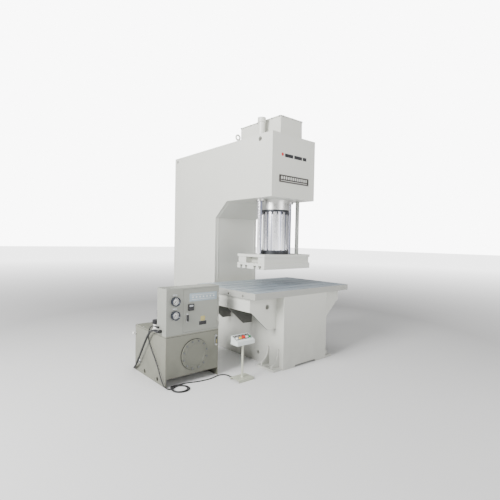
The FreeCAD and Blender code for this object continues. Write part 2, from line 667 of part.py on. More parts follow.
def oil_tank():
    """The welded oil tank on two skirts, its cover plate and its bolted manhole."""
    x = (UNIT_X, f"{UNIT_X} + tank_width")
    y = (UNIT_Y, f"{UNIT_Y} + tank_depth")
    outer = box("tank_outer", x, y, ("tank_clear", "tank_height"))
    inner = box(
        "tank_inner",
        (f"{UNIT_X} + tank_wall", f"{UNIT_X} + tank_width - tank_wall"),
        (f"{UNIT_Y} + tank_wall", f"{UNIT_Y} + tank_depth - tank_wall"),
        ("tank_clear + tank_wall", "tank_height"),
    )
    skirts = [outer]
    for i, low in enumerate((UNIT_X, f"{UNIT_X} + tank_width - skirt_thick")):
        skirts.append(box(f"skirt_{i}", (low, f"{low} + skirt_thick"), y, ("0", "tank_clear")))
    manhole_x = f"{UNIT_X} + manhole_side"
    hole_size = ("door_hole", "2*tank_wall")
    tools = [inner, rod("manhole_hole", *hole_size, manhole_x, UNIT_Y, "manhole_height", "y")]
    for i, hole_y in enumerate((f"{y[0]} + skirt_hole_front", f"{y[1]} - skirt_hole_rear")):
        hole = rod(f"skirt_hole_{i}", "skirt_hole", "tank_width", UNIT_X, hole_y, "skirt_hole_up", "x")
        tools.append(hole)
    node(cut("oil_tank", fuse("tank_welded", *skirts), *tools), "oil_tank")
    node(box("tank_cover", x, y, ("tank_height", DECK_Z)), "tank_cover")

    lid_y = f"{UNIT_Y} - manhole_thick"
    lid = rod("manhole_cover", "manhole_radius", "manhole_thick", manhole_x, lid_y, "manhole_height", "y")
    node(lid, "manhole_cover")
    bolts = []
    count = int(size["manhole_bolt_count"])
    for i in range(count):
        turn = 360.0 * (i + 0.5) / count
        bolt_x = f"{manhole_x} + manhole_bolt_ring*cos({turn} deg)"
        bolt_z = f"manhole_height + manhole_bolt_ring*sin({turn} deg)"
        bolt_y = f"{lid_y} - manhole_bolt_head"
        bolt = rod(f"manhole_bolt_{i}", "manhole_bolt", "manhole_bolt_head", bolt_x, bolt_y, bolt_z, "y")
        bolts.append(bolt)
    node(group("manhole_bolts", *bolts), "manhole_bolts")


def hinge_pins(name, radius, spans):
    """Short upright barrels on the door's hinge line."""
    x = f"{DOOR_END} + door_gap/2"
    y = f"{UNIT_Y} - hinge_out"
    return [
        rod(f"{name}_{i}", radius, f"({high}) - ({low})", x, y, low)
        for i, (low, high) in enumerate(spans)
    ]


def cabinet():
    """The sheet cabinet on the tank: gauge strip on the left, a hung door on the right."""
    x = (UNIT_X, f"{UNIT_X} + tank_width")
    y = (UNIT_Y, f"{UNIT_Y} + cabinet_depth")
    outer = box("cabinet_outer", x, y, (DECK_Z, CABINET_TOP))
    inner = box(
        "cabinet_inner",
        (f"{x[0]} + cabinet_wall", f"{x[1]} - cabinet_wall"),
        (f"{y[0]} + cabinet_wall", f"{y[1]} - cabinet_wall"),
        (f"{DECK_Z} + cabinet_wall", f"{CABINET_TOP} - cabinet_wall"),
    )
    low, high = f"({DECK_Z} + door_lip)", f"({CABINET_TOP} - door_lip)"
    opening = box("door_opening", (DOOR_X, DOOR_END), (y[0], f"{y[0]} + cabinet_wall"), (low, high))
    shell = cut("cabinet_shell", outer, inner, opening)
    length = "hinge_length"
    first = f"({low} + hinge_inset)"
    last = f"({high} - hinge_inset)"
    seat = f"({last} - {length} - knuckle_gap)"
    below = [(f"{first} - {length}", first), (f"{seat} - {length}", seat)]
    above = [(f"{first} + knuckle_gap", f"{first} + {length}"), (f"{last} - {length}", last)]
    pins = hinge_pins("frame_knuckle", "hinge_radius", below)
    leaves = []
    for i, (z0, z1) in enumerate(below):
        leaf_x = (f"{DOOR_END} + door_gap/2", f"{DOOR_END} + door_lip")
        leaves.append(box(f"frame_leaf_{i}", leaf_x, (f"{UNIT_Y} - hinge_out", UNIT_Y), (z0, z1)))
    node(fuse("control_cabinet", shell, *pins, *leaves), "control_cabinet")

    gap = "door_gap"
    panel_x = (f"{DOOR_X} + {gap}", f"{DOOR_END} - {gap}")
    panel_z = (f"{low} + {gap}", f"{high} - {gap}")
    panel = box("door_panel", panel_x, (UNIT_Y, f"{UNIT_Y} + door_thick"), panel_z)
    tray = box(
        "door_tray",
        (f"{panel_x[0]} + door_sheet", f"{panel_x[1]} - door_sheet"),
        (f"{UNIT_Y} + door_sheet", f"{UNIT_Y} + door_thick"),
        (f"{panel_z[0]} + door_sheet", f"{panel_z[1]} - door_sheet"),
    )
    lock_x = f"{DOOR_X} + lock_in"
    lock_z = f"{DECK_Z} + lock_height"
    hole = rod("lock_hole", "lock_radius + running_fit", "door_thick", lock_x, UNIT_Y, lock_z, "y")
    leaf_parts = hinge_pins("door_knuckle", "hinge_radius", above)
    for i, (z0, z1) in enumerate(above):
        leaf_x = (f"{DOOR_END} - door_lip", f"{DOOR_END} + door_gap/2")
        leaf_y = (f"{UNIT_Y} - hinge_out", f"{UNIT_Y} - hinge_out + door_sheet")
        leaf_parts.append(box(f"door_leaf_{i}", leaf_x, leaf_y, (z0, z1)))
        pad_x = (leaf_x[0], f"{DOOR_END} - {gap}")
        leaf_parts.append(box(f"door_pad_{i}", pad_x, (leaf_y[0], UNIT_Y), (z0, z1)))
    door = cut("door_shell", panel, tray, hole)
    node(fuse("cabinet_door", door, *leaf_parts), "cabinet_door")

    front = f"{UNIT_Y} - handle_out - handle_thick"
    stem_length = "handle_out + handle_thick + door_thick/2"
    stem = rod("lock_stem", "lock_radius", stem_length, lock_x, front, lock_z, "y")
    grip_x = (f"{lock_x} - handle_width/2", f"{lock_x} + handle_width/2")
    grip_z = (f"{lock_z} - handle_length/2", f"{lock_z} + handle_length/2")
    grip = box("lock_grip", grip_x, (front, f"{front} + handle_thick"), grip_z)
    node(fuse("door_handle", stem, grip), "door_handle")


def gauges():
    """Two round pressure gauges on the strip, each an open-fronted case with its own needle."""
    cases = []
    heights = (("lower_gauge_needle", "gauge_low"), ("upper_gauge_needle", "gauge_high"))
    for i, (label, up) in enumerate(heights):
        z = f"{DECK_Z} + {up}"
        front = f"{UNIT_Y} - gauge_depth"
        body = rod(f"gauge_body_{i}", "gauge_radius", "gauge_depth", GAUGE_X, front, z, "y")
        well_size = ("gauge_radius - gauge_wall", "gauge_depth - gauge_back")
        well = rod(f"gauge_well_{i}", *well_size, GAUGE_X, front, z, "y")
        pin_size = ("needle_pin + running_fit", "gauge_depth")
        pin_hole = rod(f"gauge_pin_hole_{i}", *pin_size, GAUGE_X, front, z, "y")
        cases.append(cut(f"gauge_case_{i}", body, well, pin_hole))
        blade = box(
            f"needle_blade_{i}",
            ("-needle_width/2", "needle_width/2"),
            ("-needle_lift - needle_thick", "-needle_lift"),
            ("-needle_length", "needle_length/4"),
        )
        pin = rod(f"needle_pin_{i}", "needle_pin", "needle_lift + gauge_back/2", 0, "-needle_lift", 0, "y")
        needle = fuse(label, blade, pin)
        needle.Placement = Placement(Vector(), Rotation(Vector(0, 1, 0), NEEDLE_REST))
        node(place(needle, GAUGE_X, f"{UNIT_Y} - gauge_back", z), label)
    node(group("pressure_gauges", *cases), "pressure_gauges")


def drive():
    """Electric motor, its shaft with rotor and fan, the pump on a bell housing, and the valves."""
    wall, radius, length = "motor_wall", "motor_radius", "motor_length"
    fit = "shaft_radius + running_fit"
    core = "rotor_radius + air_gap"
    fan_z = f"({length} - {wall} - fan_room)"
    profile = [
        (fit, "0"), (radius, "0"), (radius, length), ("0", length), ("0", f"{length} - {wall}"),
        (f"{radius} - {wall}", f"{length} - {wall}"), (f"{radius} - {wall}", fan_z), (fit, fan_z),
        (fit, f"{fan_z} - {wall}"), (core, f"{fan_z} - {wall}"), (core, wall), (fit, wall),
    ]
    housing = turned("motor_housing", profile, MOTOR_X, MOTOR_Y, MOTOR_Z, "x")
    feet = []
    for i, sign in enumerate((-1, 1)):
        at = f"{MOTOR_X} + {length}/2 + {sign}*{length}/4"
        foot_y = (f"{MOTOR_Y} - {radius}", f"{MOTOR_Y} + {radius}")
        foot_z = (DECK_Z, f"{MOTOR_Z} - {radius}*0.8")
        feet.append(box(f"motor_foot_{i}", (f"{at} - motor_foot/2", f"{at} + motor_foot/2"), foot_y, foot_z))
    terminal_x = (f"{MOTOR_X} + {length}/2 - terminal_width/2", f"{MOTOR_X} + {length}/2 + terminal_width/2")
    terminal_y = (f"{MOTOR_Y} - terminal_width/2", f"{MOTOR_Y} + terminal_width/2")
    terminal_z = (f"{MOTOR_Z} + {radius}*0.9", f"{MOTOR_Z} + {radius} + terminal_height")
    terminal = box("terminal_box", terminal_x, terminal_y, terminal_z)
    motor = cut("motor_pair", fuse("motor_outer", housing, *feet, terminal), rod(
        "rotor_room", core, f"{fan_z} - 2*{wall}", f"{MOTOR_X} + {wall}", MOTOR_Y, MOTOR_Z, "x"
    ))
    node(motor, "pump_motor")

    drive_end = "(-bell_length - drive_deep)"
    shaft = [
        ("0", drive_end), ("pump_drive", drive_end), ("pump_drive", "-bell_length + 12"),
        ("coupling_radius", "-bell_length + 12"), ("coupling_radius", "-12"), ("shaft_radius", "-12"),
        ("shaft_radius", f"{wall} + 12"), ("rotor_radius", f"{wall} + 12"),
        ("rotor_radius", f"{fan_z} - {wall} - 12"), ("shaft_radius", f"{fan_z} - {wall} - 12"),
        ("shaft_radius", f"{fan_z} + 10"), ("fan_radius", f"{fan_z} + 10"),
        ("fan_radius", f"{fan_z} + 10 + fan_thick"), ("0", f"{fan_z} + 10 + fan_thick"),
    ]
    node(turned("motor_shaft", shaft, MOTOR_X, MOTOR_Y, MOTOR_Z, "x"), "motor_shaft")

    bell = turned("bell_housing", [
        ("bell_bore", "-bell_length"), ("bell_radius", "-bell_length"), ("bell_radius", "0"),
        ("bell_bore", "0"),
    ], MOTOR_X, MOTOR_Y, MOTOR_Z, "x")
    low = "(-bell_length - pump_length)"
    bore = "pump_drive + running_fit"
    step = "(-bell_length - 18)"
    pump = turned("pump_body", [
        ("0", low), ("pump_radius", low), ("pump_radius", step), ("bell_radius", step),
        ("bell_radius", "-bell_length"), (bore, "-bell_length"), (bore, f"{drive_end} - 4"),
        ("0", f"{drive_end} - 4"),
    ], MOTOR_X, MOTOR_Y, MOTOR_Z, "x")
    node(group("oil_pump", bell, pump), "oil_pump")

    block_x = (f"{UNIT_X} + block_side", f"{UNIT_X} + block_side + block_width")
    block_y = (f"{UNIT_Y} + block_back", f"{UNIT_Y} + block_back + block_depth")
    top = f"({DECK_Z} + block_height)"
    parts = [box("block_body", block_x, block_y, (DECK_Z, top))]
    middle_x = f"({block_x[0]} + block_width/2)"
    for i, sign in enumerate((-1, 1)):
        middle_y = f"({block_y[0]} + block_depth/2 + {sign}*block_depth/4)"
        valve_x = (f"{middle_x} - valve_length/2", f"{middle_x} + valve_length/2")
        valve_y = (f"{middle_y} - valve_width/2", f"{middle_y} + valve_width/2")
        parts.append(box(f"valve_{i}", valve_x, valve_y, (top, f"{top} + valve_height")))
    node(fuse("valve_block", *parts), "valve_block")

    neck_top = "(filler_height - filler_cap_height)"
    filler = [
        ("0", "0"), ("filler_neck", "0"), ("filler_neck", neck_top), ("filler_cap", neck_top),
        ("filler_cap", "filler_height"), ("0", "filler_height"),
    ]
    x, y = f"{UNIT_X} + filler_side", f"{UNIT_Y} + filler_back"
    node(turned("filler_breather", filler, x, y, DECK_Z), "filler_breather")


# ---------------------------------------------------------------- button pedestal


def tilted(obj, x, along, lift):
    """Puts a round piece on the console's sloping panel, square to it."""
    obj.Placement = Placement(Vector(), Rotation(Vector(1, 0, 0), 1))
    bind(obj, "Placement.Rotation.Angle", TILT)
    y = f"{STAND_Y} - console_depth/2 + ({along})*cos({TILT}) - ({lift})*sin({TILT})"
    z = f"console_low + console_front + ({along})*sin({TILT}) + ({lift})*cos({TILT})"
    return place(obj, x, y, z)


def stand():
    """The movable stand: a folded base, a post and a wedge console with five push buttons."""
    x = (f"{STAND_X} - stand_width/2", f"{STAND_X} + stand_width/2")
    y = (f"{STAND_Y} - stand_depth/2", f"{STAND_Y} + stand_depth/2")
    outer = box("stand_outer", x, y, ("0", "stand_height"))
    inner_y = (f"{y[0]} + stand_sheet", f"{y[1]} - stand_sheet")
    inner = box("stand_inner", x, inner_y, ("0", "stand_height - stand_sheet"))
    node(cut("pedestal_base", outer, inner), "pedestal_base")
    post_size = ("post_radius", "console_low - stand_height")
    node(rod("pedestal_post", *post_size, STAND_X, STAND_Y, "stand_height"), "pedestal_post")

    y0, y1 = f"({STAND_Y} - console_depth/2)", f"({STAND_Y} + console_depth/2)"
    low, wall = "console_low", "console_wall"
    wedge = [(y0, low), (y1, low), (y1, f"{low} + console_back"), (y0, f"{low} + console_front")]
    shell = plate("console_outer", "YZ_Plane", f"{STAND_X} - console_width/2", "console_width", wedge)
    hollow = [
        (f"{y0} + {wall}", f"{low} + {wall}"), (f"{y1} - {wall}", f"{low} + {wall}"),
        (f"{y1} - {wall}", f"{low} + console_back - 2*{wall}"),
        (f"{y0} + {wall}", f"{low} + console_front - {wall}/2"),
    ]
    start = f"{STAND_X} - console_width/2 + {wall}"
    room = plate("console_room", "YZ_Plane", start, f"console_width - 2*{wall}", hollow)
    tools = [room]
    labels = ("home_button", "up_button", "stop_button", "down_button", "start_button")
    under = f"-2*{wall}"
    for i, label in enumerate(labels):
        spot = f"{STAND_X} + {i - 2}*button_pitch"
        radius = "button_radius"
        hole = rod(f"{label}_hole", f"{radius} + soft_gap", "button_deep + button_high", "0", "0", "0")
        tools.append(tilted(hole, spot, "button_up", "-button_deep"))
        flange = f"({radius} + button_flange)"
        profile = [
            ("0", "-button_deep"), (flange, "-button_deep"), (flange, f"{under} - soft_gap"),
            (radius, f"{under} - soft_gap"), (radius, "button_high"), ("0", "button_high"),
        ]
        if label == "stop_button":
            profile[4:] = [
                (radius, "mushroom_lift"), ("mushroom_radius", "mushroom_lift"),
                ("mushroom_radius", "mushroom_high"), ("0", "mushroom_high"),
            ]
        node(tilted(turned(label, profile), spot, "button_up", "0"), label)
    node(cut("console_box", shell, *tools), "console_box")


# ---------------------------------------------------------------- cords


def elbow(name, radius, out, length, y, z):
    """A bent fitting on the cabinet's left wall, with its mouth towards the rear."""
    x = f"{UNIT_X} - {out}"
    ball = doc.addObject("Part::Sphere", f"{name}_ball")
    bind(ball, "Radius", radius)
    place(ball, x, y, z)
    arm = rod(f"{name}_arm", radius, out, x, y, z, "x")
    mouth = rod(f"{name}_mouth", radius, length, x, y, z, "y")
    return fuse(name, arm, mouth, ball)


def fittings():
    """The bent cable fittings, the port on the frame and the gland on the stand."""
    control_y = f"{UNIT_Y} + control_back"
    conduit_y = f"{UNIT_Y} + conduit_back"
    parts = [
        elbow("control_fitting", "control_elbow", "control_elbow_out", "control_elbow_length",
              control_y, f"{DECK_Z} + control_up"),
        elbow("conduit_fitting", "conduit_elbow", "conduit_elbow_out", "conduit_elbow_length",
              conduit_y, f"{DECK_Z} + conduit_up"),
        rod("frame_port", "frame_port_radius", "frame_port_length", f"-{HALF} - frame_port_length",
            "frame_port_y", "frame_port_up", "x"),
        rod("stand_gland", "stand_gland", "stand_gland_length",
            f"{STAND_X} - stand_width/2 + stand_gland_side", f"{STAND_Y} + stand_depth/2",
            "stand_gland_up", "y"),
    ]
    node(group("cord_fittings", *parts), "cord_fittings")


def cord_tube(label, points, radius):
    """A cord along straight runs joined by tangent arcs, each as large as its runs allow."""
    share = 0.45
    edges = []
    radii = []
    at = points[0]
    for i in range(1, len(points) - 1):
        before, corner, after = points[i - 1], points[i], points[i + 1]
        u, v = (before - corner), (after - corner)
        turn = math.pi - u.getAngle(v)
        reach = share * min(u.Length, v.Length)
        radii.append(round(reach / math.tan(turn / 2)))
        u.normalize()
        v.normalize()
        start, end = corner + u * reach, corner + v * reach
        half = (u + v).normalize()
        middle = arc_middle(corner, half, reach, turn)
        edges.append(Part.LineSegment(at, start).toShape())
        edges.append(Part.Arc(start, middle, end).toShape())
        at = end
    edges.append(Part.LineSegment(at, points[-1]).toShape())
    path = Part.Wire(edges)
    direction = points[1] - points[0]
    ring = Part.Wire([Part.Circle(points[0], direction, radius).toShape()])
    tube = doc.addObject("Part::Feature", label)
    tube.Shape = path.makePipeShell([ring], True, False)
    share_of_true = tube.Shape.Volume / (math.pi * radius**2 * path.Length)
    print(label, "length", round(path.Length), "radii", radii, "volume", round(share_of_true, 4))
    return node(tube, label)


def arc_middle(corner, half, reach, turn):
    """The middle of the arc that is tangent to both runs at a corner."""
    radius = reach / math.tan(turn / 2)
    centre = corner + half * (radius / math.cos(turn / 2))
    return centre - half * radius


def cords():
    """The control cable in three solids and the conduit from the cabinet to the frame."""
    radius = number("control_radius")
    x = number(f"{UNIT_X} - control_elbow_out")
    y = number(f"{UNIT_Y} + control_back + control_elbow_length")
    z = number(f"{DECK_Z} + control_up")
    drop = [
        Vector(x, y, z), Vector(-1757, -685, 604), Vector(-1757, -612, 572), Vector(-1756, -570, 498),
        Vector(-1755, -588, 405), Vector(-1755, -670, 318), Vector(-1757, -775, 222),
        Vector(-1764, -862, 130), Vector(-1770, -925, 66), Vector(-1766, -970, 28),
        Vector(-1740, -1000, 10), Vector(-1700, -1008, 6), Vector(-1660, -990, 6),
    ]
    cord_tube("control_cable_drop", drop, radius)

    side, front = number("-coil_side"), number("-coil_front")
    inner, outer, high = "coil_inner", "coil_outer", "coil_height"
    ring = [(inner, "0"), (outer, "0"), (outer, high), (inner, high)]
    node(turned("control_cable_coil", ring, side, front, 0), "control_cable_coil")

    gland_x = number(f"{STAND_X} - stand_width/2 + stand_gland_side")
    gland_y = number(f"{STAND_Y} + stand_depth/2 + stand_gland_length")
    gland_z = number("stand_gland_up")
    run = [
        Vector(-1572, -958, 8), Vector(-1508, -950, 6), Vector(-1400, -992, 6), Vector(-1270, -1014, 6),
        Vector(-1168, -1000, 6), Vector(-1110, -977, 6), Vector(-1058, -982, 6),
        Vector(-1021, -1020, 7), Vector(-1016, -1073, 9), Vector(gland_x, gland_y, gland_z),
    ]
    cord_tube("control_cable_run", run, radius)

    x = number(f"{UNIT_X} - conduit_elbow_out")
    y = number(f"{UNIT_Y} + conduit_back + conduit_elbow_length")
    z = number(f"{DECK_Z} + conduit_up")
    port_x = number(f"-{HALF} - frame_port_length")
    port_y, port_z = number("frame_port_y"), number("frame_port_up")
    conduit = [
        Vector(x, y, z), Vector(-1783, -682, 570), Vector(-1786, -545, 392), Vector(-1783, -400, 190),
        Vector(-1778, -292, 62), Vector(-1752, -190, 12), Vector(-1682, -112, 11),
        Vector(-1560, -66, 11), Vector(-1360, -58, 11), Vector(-1060, -28, 11), Vector(-800, 62, 11),
        Vector(-640, 128, 13), Vector(-535, port_y, 50), Vector(port_x, port_y, port_z),
    ]
    cord_tube("supply_conduit", conduit, number("conduit_radius"))


# ---------------------------------------------------------------- write the parts


def check_document():
    """Stops unless every object is sound."""
    doc.recompute()
    for obj in doc.Objects:
        if "Invalid" in obj.State or "Error" in obj.State:
            raise RuntimeError(f"{obj.Name}: {obj.State}")
    for obj in nodes:
        shape = obj.Shape
        if shape.isNull() or not shape.isValid() or not shape.Solids:
            raise RuntimeError(f"{obj.Label}: no valid solid")


def main():
    """Builds every sub-part and writes one STEP file for each."""
    side_plate(-1, "side_plate_left")
    side_plate(1, "side_plate_right")
    frame_plates()
    stiffeners()
    anchor_feet()
    table_wing(-1, "table_wing_left")
    table_wing(1, "table_wing_right")
    work_table()
    cylinder()
    guide_bushes()
    prefill_tank()
    ram()
    slide()
    guide_rods()
    travel_sensors()
    oil_tank()
    cabinet()
    gauges()
    drive()
    stand()
    fittings()
    cords()
    check_document()
    os.makedirs("parts", exist_ok=True)
    for obj in nodes:
        obj.Shape.exportStep(f"parts/{obj.Label}.step")
        print(obj.Label, len(obj.Shape.Solids), round(obj.Shape.Volume / 1e6, 2))


main()
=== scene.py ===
"""A C-frame hydraulic press with its power unit, gauge cabinet and button stand."""

import json
import logging
import math
from dataclasses import dataclass, field
from enum import Enum

import bmesh
import bpy
import numpy as np
from mathutils import Matrix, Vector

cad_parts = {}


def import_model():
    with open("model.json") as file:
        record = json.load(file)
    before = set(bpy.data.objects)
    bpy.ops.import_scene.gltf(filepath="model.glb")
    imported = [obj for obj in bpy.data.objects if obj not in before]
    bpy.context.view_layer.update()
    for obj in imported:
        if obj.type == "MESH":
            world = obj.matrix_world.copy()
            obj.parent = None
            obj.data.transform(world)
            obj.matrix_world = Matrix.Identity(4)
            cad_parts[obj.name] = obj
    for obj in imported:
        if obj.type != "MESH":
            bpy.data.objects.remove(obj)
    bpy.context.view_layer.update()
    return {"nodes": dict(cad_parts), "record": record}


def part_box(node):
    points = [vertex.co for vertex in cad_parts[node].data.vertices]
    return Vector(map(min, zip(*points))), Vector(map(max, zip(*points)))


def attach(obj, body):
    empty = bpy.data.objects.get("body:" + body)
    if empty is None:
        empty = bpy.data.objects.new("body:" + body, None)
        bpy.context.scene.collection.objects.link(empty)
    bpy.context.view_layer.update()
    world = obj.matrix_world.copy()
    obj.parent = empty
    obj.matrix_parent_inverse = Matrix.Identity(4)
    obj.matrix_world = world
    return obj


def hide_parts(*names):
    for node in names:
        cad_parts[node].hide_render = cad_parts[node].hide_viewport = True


LOG = logging.getLogger("press")
TAU = 2 * math.pi
Point = tuple[float, float, float]
Colour = tuple[float, float, float]
Socket = bpy.types.NodeSocket


# ---------------------------------------------------------------- finishes


class Grain(Enum):
    """The direction in which marks are drawn out, as the pattern's scale along each axis."""

    EVEN = (1.0, 1.0, 1.0)
    ACROSS = (0.02, 1.0, 1.0)
    UPRIGHT = (1.0, 1.0, 0.02)


class Recipe:
    """A material under construction: its node tree and the shader that its patterns feed."""

    def __init__(self, name: str) -> None:
        """Starts a material with one shader and the object's own coordinates.

        Args:
            name: the material's name.
        """
        self.material = bpy.data.materials.new(name)
        self.material.use_nodes = True
        self.tree = self.material.node_tree
        self.tree.nodes.clear()
        self.out = self.tree.nodes.new("ShaderNodeOutputMaterial")
        self.shader = self.tree.nodes.new("ShaderNodeBsdfPrincipled")
        self.place = self.tree.nodes.new("ShaderNodeTexCoord")
        self.link(self.shader.outputs[0], self.out.inputs[0])

    def link(self, start: Socket, end: Socket) -> None:
        """Joins two sockets."""
        self.tree.links.new(start, end)

    def constant(self, **values: float | tuple[float, ...]) -> None:
        """Sets numbers on the shader's own sockets.

        Args:
            values: each socket's name, with _ for a space, and its value.
        """
        for name, value in values.items():
            self.shader.inputs[name.replace("_", " ")].default_value = value

    def noise(self, scale: float, detail: float = 3.0, grain: Grain = Grain.EVEN) -> Socket:
        """A cloud pattern on the object's own coordinates.

        Args:
            scale: clouds in a metre.
            detail: how many finer layers it has.
            grain: the direction in which the clouds are drawn out.

        Returns:
            The pattern's output, about 0.5 on average.
        """
        mapping = self.tree.nodes.new("ShaderNodeMapping")
        mapping.inputs["Scale"].default_value = grain.value
        self.link(self.place.outputs["Object"], mapping.inputs["Vector"])
        node = self.tree.nodes.new("ShaderNodeTexNoise")
        node.inputs["Scale"].default_value = scale
        node.inputs["Detail"].default_value = detail
        self.link(mapping.outputs[0], node.inputs["Vector"])
        return node.outputs["Fac"]

    def place_on(self, axis: str) -> Socket:
        """The place along an axis, in metres; along Z it is the height above the floor.

        Args:
            axis: X, Y or Z.

        Returns:
            The place's output.
        """
        split = self.tree.nodes.new("ShaderNodeSeparateXYZ")
        self.link(self.place.outputs["Object"], split.inputs[0])
        return split.outputs[axis]

    def within(self, source: Socket, low: float, high: float) -> Socket:
        """1 where a value lies between two limits, and 0 elsewhere.

        Args:
            source: the value.
            low: the lower limit.
            high: the upper limit.

        Returns:
            The result's output.
        """
        node = self.tree.nodes.new("ShaderNodeMath")
        node.operation = "COMPARE"
        node.inputs[1].default_value = (low + high) / 2
        node.inputs[2].default_value = (high - low) / 2
        self.link(source, node.inputs[0])
        return node.outputs[0]

    def nearest(self, source: Socket, first: float, pitch: float) -> Socket:
        """The distance to the nearest of a row of places: a value folded back and forth.

        Args:
            source: the value.
            first: one of the places.
            pitch: from one place to the next.

        Returns:
            The distance's output.
        """
        shift = self.tree.nodes.new("ShaderNodeMath")
        shift.operation = "SUBTRACT"
        shift.inputs[1].default_value = first
        self.link(source, shift.inputs[0])
        fold = self.tree.nodes.new("ShaderNodeMath")
        fold.operation = "PINGPONG"
        fold.inputs[1].default_value = pitch / 2
        self.link(shift.outputs[0], fold.inputs[0])
        return fold.outputs[0]

    def spread(self, source: Socket, low: float, high: float, first: float, last: float) -> Socket:
        """A value carried from one range to another and held at the ends.

        Args:
            source: the value.
            low: where the first range starts.
            high: where the first range ends.
            first: the result at low.
            last: the result at high.

        Returns:
            The result's output.
        """
        node = self.tree.nodes.new("ShaderNodeMapRange")
        for name, value in zip(("From Min", "From Max", "To Min", "To Max"), (low, high, first, last)):
            node.inputs[name].default_value = value
        self.link(source, node.inputs["Value"])
        return node.outputs["Result"]

    def product(self, first: Socket, second: Socket) -> Socket:
        """Two values multiplied."""
        return self.combined("MULTIPLY", first, second)

    def combined(self, operation: str, first: Socket, second: Socket) -> Socket:
        """Two values brought together by an operation.

        Args:
            operation: the sum to do, by its name in a Math node.
            first: one value.
            second: the other value.

        Returns:
            The result's output.
        """
        node = self.tree.nodes.new("ShaderNodeMath")
        node.operation = operation
        self.link(first, node.inputs[0])
        self.link(second, node.inputs[1])
        return node.outputs[0]

    def blend(self, share: Socket, first: Colour | Socket, second: Colour | Socket) -> Socket:
        """A colour between two others.

        Args:
            share: 0 for the first colour, 1 for the second.
            first: a colour, or the output of another blend.
            second: a colour, or the output of another blend.

        Returns:
            The colour's output.
        """
        node = self.tree.nodes.new("ShaderNodeMix")
        node.data_type = "RGBA"
        self.link(share, node.inputs["Factor"])
        for place, colour in ((6, first), (7, second)):
            if isinstance(colour, tuple):
                node.inputs[place].default_value = (*colour, 1)
            else:
                self.link(colour, node.inputs[place])
        return node.outputs[2]

    def colour(self, source: Socket) -> None:
        """Feeds the shader's colour."""
        self.link(source, self.shader.inputs["Base Color"])

    def roughness(self, source: Socket) -> None:
        """Feeds the shader's roughness."""
        self.link(source, self.shader.inputs["Roughness"])

    def bump(self, source: Socket, strength: float, depth: float) -> None:
        """Raises the surface by a pattern.

        Args:
            source: the pattern.
            strength: how much of it shows, from 0 to 1.
            depth: the height of its hills, in metres.
        """
        node = self.tree.nodes.new("ShaderNodeBump")
        node.inputs["Strength"].default_value = strength
        node.inputs["Distance"].default_value = depth
        self.link(source, node.inputs["Height"])
        self.link(node.outputs[0], self.shader.inputs["Normal"])


def shade(colour: Colour, factor: float) -> Colour:
    """A colour made lighter or darker by a factor."""
    return tuple(min(1.0, part * factor) for part in colour)


MADE: dict[str, bpy.types.Material] = {}


@dataclass(frozen=True)
class Finish:
    """How a surface looks: its name, its colour and how rough it is."""

    name: str
    tint: Colour
    gloss: float = 0.4

    def recipe(self) -> Recipe:
        """A recipe that has this finish's name and roughness.

        Returns:
            The recipe.
        """
        made = Recipe(self.name)
        made.constant(Roughness=self.gloss)
        return made

    def material(self) -> bpy.types.Material:
        """The finish's material, made once and then shared.

        Returns:
            The material.
        """
        if self.name not in MADE:
            MADE[self.name] = self.make()
        return MADE[self.name]

    def make(self) -> bpy.types.Material:
        """Makes the material: even colour with faint clouds.

        Returns:
            The material.
        """
        mix = self.recipe()
        clouds = mix.noise(14.0)
        mix.colour(mix.blend(clouds, shade(self.tint, 0.94), shade(self.tint, 1.05)))
        return mix.material


@dataclass(frozen=True)
class Enamel(Finish):
    """Sprayed machine enamel: orange peel, faint clouds, dust near the floor, painted shade below a height line and
    small rubbed marks.
    """

    dust: float = 0.35
    wear: float = 0.4
    # painted shade: where it starts and ends in height, and how dark the colour gets below it
    painted_shade_line: tuple[float, float, float] = (0.0, 0.5, 0.9)
    # where the painted shade starts along Y
    painted_shade_from: float = -9.0

    def coat(self, mix: Recipe) -> Socket:
        """Sets the enamel's surface up.

        Args:
            mix: the recipe.

        Returns:
            The colour's output.
        """
        mix.constant(Coat_Weight=0.12, Coat_Roughness=0.25)
        clouds = mix.spread(mix.noise(1.3, 5.0), 0.3, 0.7, 0, 1)
        first = mix.blend(clouds, shade(self.tint, 0.965), shade(self.tint, 1.02))
        low = mix.spread(mix.place_on("Z"), 0.0, 0.55, self.dust, 0.0)
        grime = mix.product(low, mix.spread(mix.noise(6.0, 6.0), 0.35, 0.7, 0.1, 1.0))
        # painted shade: the colour darkens smoothly below a height line, from a place along Y onwards
        low_z, high_z, depth = self.painted_shade_line
        painted_shade_share = mix.spread(mix.place_on("Z"), low_z, high_z, 1.0, 0.0)
        painted_shade_share = mix.product(painted_shade_share, mix.within(mix.place_on("Y"), self.painted_shade_from, 9.0))
        with_painted_shade = mix.blend(painted_shade_share, first, shade(self.tint, depth))
        second = mix.blend(grime, with_painted_shade, shade(self.tint, 0.55 * depth))
        rubs = mix.spread(mix.noise(38.0, 8.0, Grain.ACROSS), 0.66, 0.74, 0.0, self.wear * 0.35)
        mix.roughness(mix.spread(mix.noise(9.0, 4.0), 0.3, 0.7, self.gloss - 0.06, self.gloss + 0.08))
        mix.bump(mix.noise(420.0, 2.0), 0.12, 0.0006)
        return mix.blend(rubs, second, shade(self.tint, 0.72))

    def make(self) -> bpy.types.Material:
        """Makes the material.

        Returns:
            The material.
        """
        mix = self.recipe()
        mix.colour(self.coat(mix))
        return mix.material


